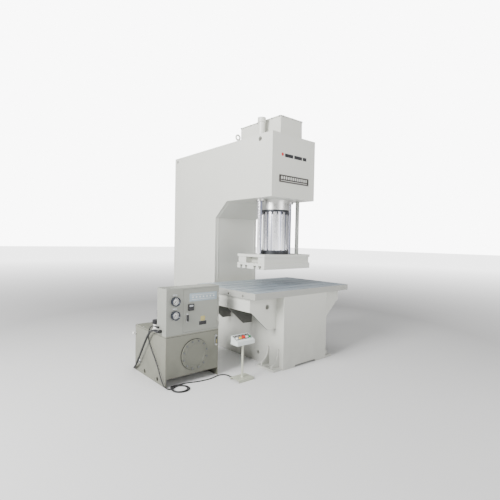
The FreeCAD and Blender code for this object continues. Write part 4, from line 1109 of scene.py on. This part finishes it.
@dataclass
class PowerUnit:
    """Pieces on the tank and its cabinet: plates, meter, hinges, level gauge, manhole, filler, fittings and gauges.
    """

    left: float = -1.740
    right: float = -1.080
    front: float = -0.940
    deck: float = 0.529

    def facing(self, surface: Surface, x: float, z: float, proud: float = 0.0) -> Surface:
        """A flat piece turned to the front and set on the cabinet's or tank's face."""
        return surface.turned((0, -1, 0)).moved((x, self.front - proud, z))

    def cabinet_plates(self) -> None:
        """The plain plates and the lock plate on the cabinet's front."""
        x, z, face = -1.2895, 0.9115, 0.0013
        add_piece("door_strip", self.facing(slab(0.353, 0.087, 0.0014, 0.004), x, z), PLATE_BLUE, "door")
        lines = slab(0.300, 0.0045, 0.0005, 0.001).copies(np.array([(0, 0.024, face), (0, -0.024, face)]))
        squares = np.array([(across, 0, face) for across in np.linspace(-0.135, 0.135, 7)])
        lines += slab(0.018, 0.018, 0.0005, 0.004).copies(squares)
        add_piece("door_strip_marks", self.facing(lines, x, z), PLATE_LINE, "door")
        x = -1.2945
        add_piece("door_plate_low", self.facing(slab(0.095, 0.040, 0.0012, 0.003), x, 0.622), PRINT_BLACK, "door")
        add_piece("door_plate_high", self.facing(slab(0.058, 0.052, 0.0012, 0.010), x, 0.672), PLATE_OCHRE, "door")
        shield = slab(0.026, 0.094, 0.0022, 0.010) + lathe([(0.012, 0.002), (0.012, 0.006), (0.0095, 0.0075)], 32)
        add_piece("lock_plate", self.facing(shield, -1.491, 0.697), ZINC, "door")
        tags = slab(0.052, 0.014, 0.001, 0.002)
        add_piece("gauge_tags", self.facing(tags, -1.640, 0.806) + self.facing(tags, -1.640, 0.952), PLATE_GREY)

    def panel_meter(self) -> None:
        """The square meter on the door: black case, grey window, scale and pointer."""
        x, z = -1.448, 0.8066
        case = slab(0.072, 0.072, 0.012, 0.006, 0.0025)
        add_piece("meter_case", self.facing(case, x, z), BLACK_PLASTIC, "door")
        window = slab(0.046, 0.016, 0.0012, 0.003).moved((0, 0.017, 0.0114))
        add_piece("meter_window", self.facing(window, x, z), PLATE_GREY, "door")
        marks = nothing()
        for i in range(11):
            turn = math.radians(135 - 9 * i)
            bar = spun(slab(0.0045, 0.0006, 0.0003, 0.0001), turn)
            marks += bar.moved((0.030 * math.cos(turn), 0.030 * math.sin(turn) - 0.009, 0.0125))
        turn = math.radians(112)
        pointer = spun(slab(0.030, 0.0010, 0.0004, 0.0003), turn)
        marks += pointer.moved((0.012 * math.cos(turn), 0.012 * math.sin(turn) - 0.005, 0.0125))
        add_piece("meter_scale", self.facing(marks, x, z), PRINT_BLACK, "door")

    def hinges(self) -> None:
        """Domed caps on the door's hinge pins."""
        cap = lathe([(0.0052, 0), (0.0052, 0.002), (0.003, 0.0042), (0.0008, 0.0048)], 20)
        spots = np.array([(-1.093, -0.948, z) for z in (0.7145, 0.9345)])
        add_piece("hinge_caps", cap.copies(spots), ZINC)

    def level_gauge(self) -> None:
        """The oil level gauge on the tank's front: a metal body, a dark window, a line of oil and two bolts."""
        x, z = -1.117, 0.4045
        ends = np.array([(0, 0.050, 0.003), (0, -0.050, 0.003)])
        body = slab(0.026, 0.122, 0.006, 0.010) + slab(0.026, 0.020, 0.014, 0.006).copies(ends)
        add_piece("level_body", self.facing(body, x, z), ZINC)
        add_piece("level_window", self.facing(slab(0.014, 0.084, 0.010, 0.006), x, z, 0.0055), PRINT_BLACK)
        add_piece("level_oil", self.facing(slab(0.006, 0.046, 0.0022, 0.0028), x, z - 0.014, 0.0150), PLATE_OCHRE)
        head = hexagon_head(0.013, 0.006).copies(ends + [0, 0, 0.0135])
        add_piece("level_bolts", self.facing(head, x, z), TURNED_STEEL)

    def manhole(self) -> None:
        """The manhole's gasket, a black ring that also stands for the shadow round the cover, and a low ring on its
        cover.
        """
        x, z = self.left + 0.346, 0.292
        # painted shadow: the black gasket ring is partly a real gasket and partly the shadow round the cover's edge
        add_piece("manhole_gasket_and_shadow", self.facing(tube(0.150, 0.1695, 0.0002, 0.006, 96), x, z), BLACK_RUBBER)
        rim = lathe([(0.118, 0.0175), (0.124, 0.0175), (0.123, 0.0195), (0.119, 0.0195)], 96, looped=True)
        add_piece("manhole_rim", self.facing(rim, x, z), COVER_PAINT)

    def filler(self) -> None:
        """The pale sleeve of the filler and the ribs of its cap."""
        x, y, deck, ribs = -1.675, -0.590, self.deck, 28
        made = tube(0.0275, 0.0305, deck + 0.010, deck + 0.066, 48) + tube(0.0275, 0.043, deck, deck + 0.009, 48)
        add_piece("filler_sleeve", made.moved((x, y, 0)), WHITE_GLOSS)
        t = np.arange(ribs) * TAU / ribs
        spots = np.stack([x + 0.038 * np.cos(t), y + 0.038 * np.sin(t), np.full(ribs, 0.601)], -1)
        rib = lathe([(0.0018, 0), (0.0018, 0.034), (0.0008, 0.036)], 8)
        add_piece("filler_cap_ribs", rib.copies(spots), BLACK_PLASTIC)

    def tank_fittings(self) -> None:
        """The knob on the tank's rear corner, the drain plug, and the bolts and gasket of the cover."""
        outline = [(0.006, 0), (0.006, 0.020), (0.012, 0.024), (0.016, 0.031), (0.014, 0.040), (0.006, 0.044)]
        knob = lathe(outline, 28).turned((-1, 0, 0)).moved((self.left, -0.225, 0.438))
        add_piece("tank_knob", knob, WHITE_GLOSS)
        plug = lathe([(0.022, 0), (0.022, 0.006), (0.020, 0.008)], 32) + hexagon_head(0.022, 0.018)
        add_piece("drain_plug", plug.turned((-1, 0, 0)).moved((self.left, -0.330, 0.130)), ZINC)
        edge = [(x, y) for x in (self.left + 0.018, self.right - 0.018) for y in np.linspace(-0.70, -0.22, 4)]
        edge += [(x, -0.222) for x in np.linspace(self.left + 0.17, self.right - 0.17, 3)]
        spots = np.array([(x, y, self.deck - 0.0003) for x, y in edge])
        head = lathe([(0.010, 0), (0.010, 0.0015)], 20) + hexagon_head(0.013, 0.007)
        add_piece("cover_bolts", head.copies(spots), ZINC)
        width, depth = self.right - self.left, 0.735
        middle = ((self.left + self.right) / 2, self.front + depth / 2, self.deck - 0.0165)
        add_piece("cover_gasket", slab(width + 0.0012, depth + 0.0012, 0.004, 0.004).moved(middle), BLACK_RUBBER)

    def build(self) -> None:
        """Builds the power unit's own pieces."""
        self.cabinet_plates()
        self.panel_meter()
        self.hinges()
        self.level_gauge()
        self.manhole()
        self.filler()
        self.tank_fittings()
        gauge = GaugeFace(front=self.front)
        gauge.build("lower_gauge", 0.740, 30)
        gauge.build("upper_gauge", 0.885, 60)


@dataclass
class Drive:
    """The motor's ribs, cowl and box, the pump's fittings, the pipe to the valves and their coils."""

    y: float = -0.470
    z: float = 0.679
    radius: float = 0.105

    def ribs(self) -> None:
        """Cooling ribs round the motor's barrel, left out under it and behind the terminal box."""
        made = nothing()
        rib = slab(0.150, 0.0034, 0.015, 0.0016).moved((-1.297, 0, 0))
        for degrees in range(-50, 231, 8):
            if 62 < degrees < 118:
                continue
            turn = math.radians(degrees)
            out = np.array([0, math.cos(turn), math.sin(turn)])
            side = np.array([0, -math.sin(turn), math.cos(turn)])
            axes = np.array([(1.0, 0.0, 0.0), side, out])
            made += Surface(rib.points @ axes, rib.faces).moved(tuple(out * (self.radius - 0.002)))
        add_piece("motor_ribs", made.moved((0, self.y, self.z)), MOTOR_PAINT)

    def cowl(self) -> None:
        """The fan cowl's skirt and the rings of its grille."""
        r, back, front = self.radius, -1.1405, -1.1360
        skirt = [
            (r - 0.001, -1.200), (r + 0.012, -1.200), (r + 0.012, -1.150), (r + 0.004, -1.139),
            (r - 0.006, -1.137), (r - 0.006, -1.140), (r - 0.001, -1.146),
        ]
        made = lathe(skirt, 72, looped=True)
        for size in (0.030, 0.050, 0.070, 0.088):
            rim = [(size, back), (size + 0.007, back), (size + 0.006, front), (size + 0.001, front)]
            made += lathe(rim, 64, looped=True)
        made += lathe([(0.016, back), (0.016, -1.1365), (0.013, -1.1355)], 32)
        add_piece("fan_cowl", made.turned((1, 0, 0)).moved((0, self.y, self.z)), MOTOR_PAINT)

    def box_fittings(self) -> None:
        """Screws on the terminal box, the motor's bare plate and its lifting eye."""
        x, r = -1.357, self.radius
        eye = hoop((x, 0, r + 0.026), (0, 1, 0), (0, 0, 1), 0.018, 0.005, (32, 10))
        eye += lathe([(0.012, r - 0.004), (0.012, r + 0.006), (0.006, r + 0.010)], 24).moved((x, 0, 0))
        add_piece("motor_eye", eye.moved((0, self.y, self.z)), ZINC)
        x, top = -1.269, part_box("pump_motor")[1][2]
        lid = slab(0.094, 0.094, 0.006, 0.008, 0.002).moved((x, self.y, top - 0.002))
        add_piece("terminal_lid", lid, MOTOR_PAINT)
        spots = np.array([(x + a, self.y + b, top + 0.0038) for a in (-0.037, 0.037) for b in (-0.037, 0.037)])
        screw = lathe([(0.0042, 0), (0.0042, 0.001), (0.003, 0.0026), (0.0008, 0.003)], 16)
        add_piece("terminal_screws", screw.copies(spots), ZINC)

    def pump_fittings(self) -> None:
        """Screws on the pump's end, and the pipe from the pump to the valve block with its nuts."""
        t = np.arange(4) * TAU / 4 + TAU / 8
        spots = np.stack([np.full(4, -1.5800), self.y + 0.044 * np.cos(t), self.z + 0.044 * np.sin(t)], -1)
        head = lathe([(0.0075, -0.002), (0.0075, 0.007), (0.006, 0.008), (0.0042, 0.008), (0.004, 0.003)], 18)
        add_piece("pump_screws", head.turned((-1, 0, 0)).copies(spots), BLACK_STEEL)
        knots = np.array([
            (-1.525, -0.500, 0.724), (-1.525, -0.508, 0.800), (-1.524, -0.540, 0.830), (-1.518, -0.590, 0.790),
            (-1.512, -0.640, 0.700), (-1.500, -0.664, 0.620), (-1.460, -0.668, 0.600), (-1.404, -0.668, 0.600),
        ])
        add_piece("pressure_pipe", pipe(smoothed(knots), 0.009, 16, (0.2, 1, 0.1)), BLACK_STEEL)
        nut = hexagon_head(0.028, 0.022)
        made = nut.turned((-1, 0, 0)).moved((-1.4095, -0.668, 0.600))
        made += nut.turned((0, 0, 1)).moved((-1.525, -0.500, 0.728))
        add_piece("pipe_nuts", made, ZINC)

    def valve_fittings(self) -> None:
        """Coils, plugs and screws on the valves."""
        low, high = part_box("valve_block")
        cy = -0.668
        coil = lathe([(0.018, 0), (0.0215, 0.003), (0.0215, 0.048), (0.018, 0.052), (0.008, 0.054)], 32)
        made = coil.turned((-1, 0, 0)).moved((low[0] + 0.002, cy, 0.673))
        made += coil.turned((1, 0, 0)).moved((high[0] - 0.002, cy, 0.673))
        add_piece("valve_coils", made, BLACK_PLASTIC)
        plug = slab(0.026, 0.026, 0.024, 0.004)
        spots = np.array([(low[0] - 0.024, cy, 0.692), (high[0] + 0.024, cy, 0.692)])
        add_piece("coil_plugs", plug.copies(spots), PLATE_GREY)
        tops = np.array([(-1.335 + a, cy + b, 0.6965) for a in (-0.030, 0.030) for b in (-0.017, 0.017)])
        screw = lathe([(0.005, -0.002), (0.005, 0.005), (0.004, 0.006), (0.0028, 0.006), (0.0026, 0.002)], 16)
        add_piece("valve_screws", screw.copies(tops), BLACK_STEEL)

    def build(self) -> None:
        """Builds the drive's own pieces."""
        self.ribs()
        self.cowl()
        self.box_fittings()
        self.pump_fittings()
        self.valve_fittings()


# ---------------------------------------------------------------- the stand


@dataclass
class Stand:
    """The console's bezels, label strips and screws, and the collar on the post."""

    x: float = -0.956
    y: float = -1.228
    pitch: float = 0.044
    normal: Point = (0.0, -0.371391, 0.928477)
    uphill: Point = (0.0, 0.928477, 0.371391)
    edge: Point = (0.0, -1.288, 0.442)

    def panel(self, surface: Surface, across: float, up: float, proud: float = 0.0) -> Surface:
        """A flat piece laid on the sloping panel.

        Args:
            surface: the piece, with its face towards +Z and its top towards +Y.
            across: its place from the panel's middle.
            up: its place up the slope from the front edge.
            proud: its height off the panel.

        Returns:
            The piece in place.
        """
        n, u = np.array(self.normal), np.array(self.uphill)
        spot = np.array(self.edge) + up * u + proud * n + [self.x + across, 0, 0]
        return surface.turned(self.normal, self.uphill).moved(tuple(spot))

    def bezels(self) -> None:
        """A ring round each button."""
        section = [(0.0146, 0), (0.0190, 0), (0.0190, 0.0016), (0.0176, 0.0026), (0.0146, 0.0026)]
        ring = lathe(section, 40, looped=True)
        made = nothing()
        for i in range(5):
            made += self.panel(ring, (i - 2) * self.pitch, 0.058)
        add_piece("button_bezels", made, ZINC)

    def strips(self) -> None:
        """The dark strip above the buttons with plain pale marks, and the coloured grounds under them."""
        add_piece("console_strip", self.panel(slab(0.222, 0.026, 0.0009, 0.003), 0, 0.104), PLATE_DARK)
        add_piece("console_ground", self.panel(slab(0.222, 0.052, 0.0006, 0.004), 0, 0.062), PRINT_TEAL)
        add_piece("console_centre", self.panel(slab(0.118, 0.036, 0.0005, 0.004), 0, 0.060, 0.0005), PRINT_ORANGE)
        ends = nothing()
        for across in (-2 * self.pitch, 2 * self.pitch):
            ends += self.panel(slab(0.036, 0.036, 0.0005, 0.004), across, 0.060, 0.0005)
        add_piece("console_ends", ends, DIAL_WHITE)
        marks = slab(0.022, 0.005, 0.0004, 0.001)
        made = nothing()
        for i in range(5):
            made += self.panel(marks, (i - 2) * self.pitch, 0.104, 0.0008)
        add_piece("console_marks", made, PLATE_LINE)

    def fixings(self) -> None:
        """Corner screws of the panel, and the collars at both ends of the post."""
        made = nothing()
        screw = lathe([(0.0036, 0), (0.0036, 0.0008), (0.0026, 0.002), (0.0007, 0.0023)], 16)
        for across in (-0.113, 0.113):
            for up in (0.009, 0.121):
                made += self.panel(screw, across, up)
        add_piece("console_screws", made, ZINC)
        collar = [(0.0122, 0.030), (0.021, 0.030), (0.021, 0.034), (0.0150, 0.044), (0.0122, 0.046)]
        flange = [(0.0122, 0.3975), (0.0122, 0.390), (0.030, 0.392), (0.030, 0.3975)]
        both = lathe(collar, 40, looped=True) + lathe(flange, 40, looped=True)
        add_piece("post_collars", both.moved((self.x, self.y, 0)), STAND_PAINT)

    def build(self) -> None:
        """Builds the stand's own pieces."""
        self.bezels()
        self.strips()
        self.fixings()


# ---------------------------------------------------------------- cords


@dataclass
class Cords:
    """The control cable with its loose coil, the conduit and the tapered reliefs at their ends."""

    coil: tuple[float, float] = (-1.626, -1.047)
    turns: float = 2.17
    radius: float = 0.006

    drop: list[Point] = field(default_factory=lambda: [
        (-1.756, -0.760, 0.605), (-1.757, -0.685, 0.604), (-1.757, -0.612, 0.572), (-1.756, -0.570, 0.498),
        (-1.755, -0.588, 0.405), (-1.755, -0.670, 0.318), (-1.757, -0.775, 0.222), (-1.764, -0.862, 0.130),
        (-1.770, -0.925, 0.066), (-1.766, -0.970, 0.028), (-1.740, -1.000, 0.010), (-1.700, -1.008, 0.006),
        (-1.660, -0.990, 0.006),
    ])
    run: list[Point] = field(default_factory=lambda: [
        (-1.572, -0.958, 0.008), (-1.508, -0.950, 0.006), (-1.400, -0.992, 0.006), (-1.270, -1.014, 0.006),
        (-1.168, -1.000, 0.006), (-1.110, -0.977, 0.006), (-1.058, -0.982, 0.006), (-1.021, -1.020, 0.007),
        (-1.016, -1.073, 0.009), (-1.030, -1.127, 0.014),
    ])
    conduit: list[Point] = field(default_factory=lambda: [
        (-1.782, -0.800, 0.572), (-1.783, -0.682, 0.570), (-1.786, -0.545, 0.392), (-1.783, -0.400, 0.190),
        (-1.778, -0.292, 0.062), (-1.752, -0.190, 0.012), (-1.682, -0.112, 0.011), (-1.560, -0.066, 0.011),
        (-1.360, -0.058, 0.011), (-1.060, -0.028, 0.011), (-0.800, 0.062, 0.011), (-0.640, 0.128, 0.013),
        (-0.535, 0.150, 0.050), (-0.440, 0.150, 0.070),
    ])

    def loose_turns(self) -> np.ndarray:
        """The coil: a spiral that widens as it goes round, lifted where it lies over the cable that came in.

        Returns:
            The points of the turns.
        """
        count, lies_over = 31, 150
        share = np.arange(1, count + 1) / (count + 1)
        swept = share * self.turns * TAU
        angle = math.radians(121) - swept
        reach = 0.070 + 0.034 * share + 0.0022 * np.sin(1.5 * swept)
        near = (np.degrees(angle) - lies_over + 180) % 360 - 180
        lift = 0.0155 * np.clip(1.35 - np.abs(near) / 32, 0, 1)
        x = self.coil[0] + reach * np.cos(angle)
        y = self.coil[1] + reach * np.sin(angle)
        return np.stack([x, y, self.radius + lift], -1)

    def curve(self, name: str, points: np.ndarray, radius: float) -> bpy.types.Object:
        """A cord as one smooth curve through its route.

        Args:
            name: the piece's name.
            points: the route's points.
            radius: half its thickness.

        Returns:
            The cord, which rides on the frame.
        """
        data = bpy.data.curves.new(name, "CURVE")
        data.dimensions = "3D"
        data.bevel_depth, data.bevel_resolution, data.resolution_u = radius, 5, 8
        data.use_fill_caps = True
        line = data.splines.new("NURBS")
        line.points.add(len(points) - 1)
        line.points.foreach_set("co", np.column_stack([points, np.ones(len(points))]).ravel())
        line.order_u, line.use_endpoint_u = 3, True
        data.materials.append(BLACK_RUBBER.material())
        cord = bpy.data.objects.new(name, data)
        bpy.context.scene.collection.objects.link(cord)
        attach(cord, "frame")
        return cord

    def relief(
        self, name: str, start: Point, way: Point, inner: float, outer: float, length: float
    ) -> bpy.types.Object:
        """A tapered strain relief with grooves: rings whose radius falls from the gland to the cord.

        Args:
            name: the piece's name.
            start: the gland's mouth.
            way: the direction of the cord as it leaves.
            inner: radius at the thin end.
            outer: radius at the gland.
            length: from end to end.

        Returns:
            The relief.
        """
        t = np.linspace(0, 1, 31)
        size = outer + (inner - outer) * t - 0.0006 * (np.sin(TAU * 5 * t) > 0.3) * (t < 0.97)
        profile = list(zip(size.tolist(), (t * length).tolist()))
        up = (1, 0, 0) if abs(way[0]) < 0.5 else (0, 0, 1)
        return add_piece(name, lathe(profile, 28).turned(way, up).moved(start), BLACK_RUBBER)

    def build(self) -> None:
        route = np.vstack([self.drop, self.loose_turns(), self.run])
        cable = self.curve("control_cable", route, self.radius)
        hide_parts("control_cable_drop", "control_cable_coil", "control_cable_run")
        ends = [
            self.relief("cable_relief_cabinet", (-1.756, -0.761, 0.605), (0, 1, 0), 0.0066, 0.0088, 0.030),
            self.relief("cable_relief_stand", (-1.030, -1.128, 0.014), (-0.1, 0.99, -0.06), 0.0066, 0.0092, 0.024),
        ]
        conduit = self.curve("supply_conduit_curve", np.array(self.conduit), 0.011)
        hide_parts("supply_conduit")
        ends = [
            self.relief("conduit_relief_cabinet", (-1.782, -0.801, 0.572), (0, 1, 0), 0.0118, 0.0155, 0.040),
            self.relief("conduit_relief_frame", (-0.441, 0.150, 0.070), (-0.98, 0, -0.2), 0.0118, 0.0165, 0.040),
        ]


# ---------------------------------------------------------------- the studio


@dataclass
class Studio:
    """A pale floor that fades into the bright surround, soft lights and the camera."""

    eye: Point = (-3.5642, -4.3519, 1.5360)
    ahead: Point = (0.65183, 0.75791, -0.02624)
    above: Point = (0.00249, 0.03246, 0.99947)
    lens: float = 26.81
    surround: float = 0.36
    backdrop: float = 9.0

    def floor(self) -> None:
        """A wide pale floor which shines as it goes away from the object."""
        pale = (0.74, 0.74, 0.735)
        mix = Finish("studio_floor", pale, 0.75).recipe()
        mix.colour(mix.blend(mix.noise(0.6), (0.70, 0.70, 0.695), pale))
        far = mix.tree.nodes.new("ShaderNodeVectorMath")
        far.operation = "LENGTH"
        mix.link(mix.place.outputs["Object"], far.inputs[0])
        mix.constant(Emission_Color=(1.0, 1.0, 1.0, 1.0))
        mix.link(mix.spread(far.outputs["Value"], 4.0, 22.0, 0.0, 3.6), mix.shader.inputs["Emission Strength"])
        mesh = bpy.data.meshes.new("studio_floor")
        reach, level = 60.0, -0.0005
        corners = [(-reach, -reach), (reach, -reach), (reach, reach), (-reach, reach)]
        mesh.from_pydata([(x, y, level) for x, y in corners], [], [(0, 1, 2, 3)])
        mesh.materials.append(mix.material)
        floor = bpy.data.objects.new("studio_floor", mesh)
        bpy.context.scene.collection.objects.link(floor)

    def camera(self) -> None:
        """The camera, level with an operator's eye at the front left."""
        w = -unit(np.array(self.ahead))
        v = unit(np.array(self.above) - np.dot(self.above, w) * w)
        u = np.cross(v, w)
        data = bpy.data.cameras.new("camera")
        data.lens, data.sensor_width = self.lens, 36.0
        data.clip_end = 200.0
        camera = bpy.data.objects.new("camera", data)
        matrix = np.eye(4)
        matrix[:3, :3] = np.column_stack([u, v, w])
        matrix[:3, 3] = self.eye
        camera.matrix_world = Matrix(matrix.tolist())
        bpy.context.scene.collection.objects.link(camera)
        bpy.context.scene.camera = camera

    def lamp(self, name: str, spot: Point, aim: Point, size: float, power: float, tint: Colour = (1, 1, 1)) -> None:
        """A square soft light.

        Args:
            name: the light's name.
            spot: where it is.
            aim: the point that it faces.
            size: of its side.
            power: in watts.
            tint: its colour.
        """
        data = bpy.data.lights.new(name, "AREA")
        data.size, data.energy, data.color = size, power, tint
        lamp = bpy.data.objects.new(name, data)
        w = unit(np.array(spot, float) - np.array(aim, float))
        u = unit(np.cross((0.0, 0.0, 1.0), w))
        matrix = np.eye(4)
        matrix[:3, :3] = np.column_stack([u, np.cross(w, u), w])
        matrix[:3, 3] = spot
        lamp.matrix_world = Matrix(matrix.tolist())
        bpy.context.scene.collection.objects.link(lamp)

    def sky(self) -> None:
        """An even surround: bright behind the object, and softer as a light."""
        world = bpy.data.worlds.new("surround")
        world.use_nodes = True
        tree = world.node_tree
        ground = tree.nodes["Background"]
        ground.inputs["Color"].default_value = (1.0, 1.0, 1.0, 1)
        ray = tree.nodes.new("ShaderNodeLightPath")
        level = tree.nodes.new("ShaderNodeMapRange")
        level.inputs["To Min"].default_value = self.surround
        level.inputs["To Max"].default_value = self.backdrop
        tree.links.new(ray.outputs["Is Camera Ray"], level.inputs["Value"])
        tree.links.new(level.outputs["Result"], ground.inputs["Strength"])
        bpy.context.scene.world = world

    def build(self) -> None:
        """Builds the studio."""
        self.floor()
        self.sky()
        self.camera()
        self.lamp("key", (-7.5, -1.5, 4.5), (-0.3, -0.2, 1.4), 3.0, 1250)
        self.lamp("front", (0.5, -6.5, 2.4), (-0.2, -0.9, 0.5), 3.0, 140)
        self.lamp("top", (0.0, -1.0, 7.5), (0.0, -0.9, 0.5), 4.0, 160)


# ---------------------------------------------------------------- the whole


SOFT_NODES: dict[str, float] = {
    "side_plate_left": 0.004, "side_plate_right": 0.004, "head_front_plate": 0.003, "head_bottom_plate": 0.003,
    "anchor_feet": 0.003, "table_wing_left": 0.003, "table_wing_right": 0.003, "work_table": 0.003,
    "slide": 0.003, "prefill_tank": 0.003, "prefill_tank_lid": 0.002, "oil_tank": 0.002, "tank_cover": 0.002,
    "manhole_cover": 0.002, "control_cabinet": 0.001, "cabinet_door": 0.0008, "door_handle": 0.002,
    "pedestal_base": 0.0012, "console_box": 0.0008, "gland_ring": 0.002, "ram_flange": 0.002,
    "valve_block": 0.002, "home_button": 0.0015, "up_button": 0.0015, "stop_button": 0.003,
    "down_button": 0.0015, "start_button": 0.0015,
}


def dress_nodes(frame: dict) -> None:
    """Gives every node its finish, and rounds the edges of those that show them.

    Args:
        frame: the loaded frame.
    """
    nodes = frame["nodes"]
    bodies = frame["record"]["behaviour"]["bodies"]
    body_of = {node: body for body, held in bodies.items() for node in held}
    for name, finish in NODE_FINISH.items():
        if name in SOFT_NODES:
            soften(nodes, name, SOFT_NODES[name], body_of[name])
            continue
        materials = nodes[name].data.materials
        materials.clear()
        materials.append(finish.material())


def main() -> None:
    """Loads the frame and builds every piece in order."""
    logging.basicConfig(level=logging.INFO, format="%(message)s")
    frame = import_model()
    dress_nodes(frame)
    for part in (Frame(), PressHead(), PowerUnit(), Drive(), Stand(), Cords(), Studio()):
        part.build()
        LOG.info("built %s", type(part).__name__)
    bpy.context.view_layer.update()


if __name__ == "__main__":
    main()
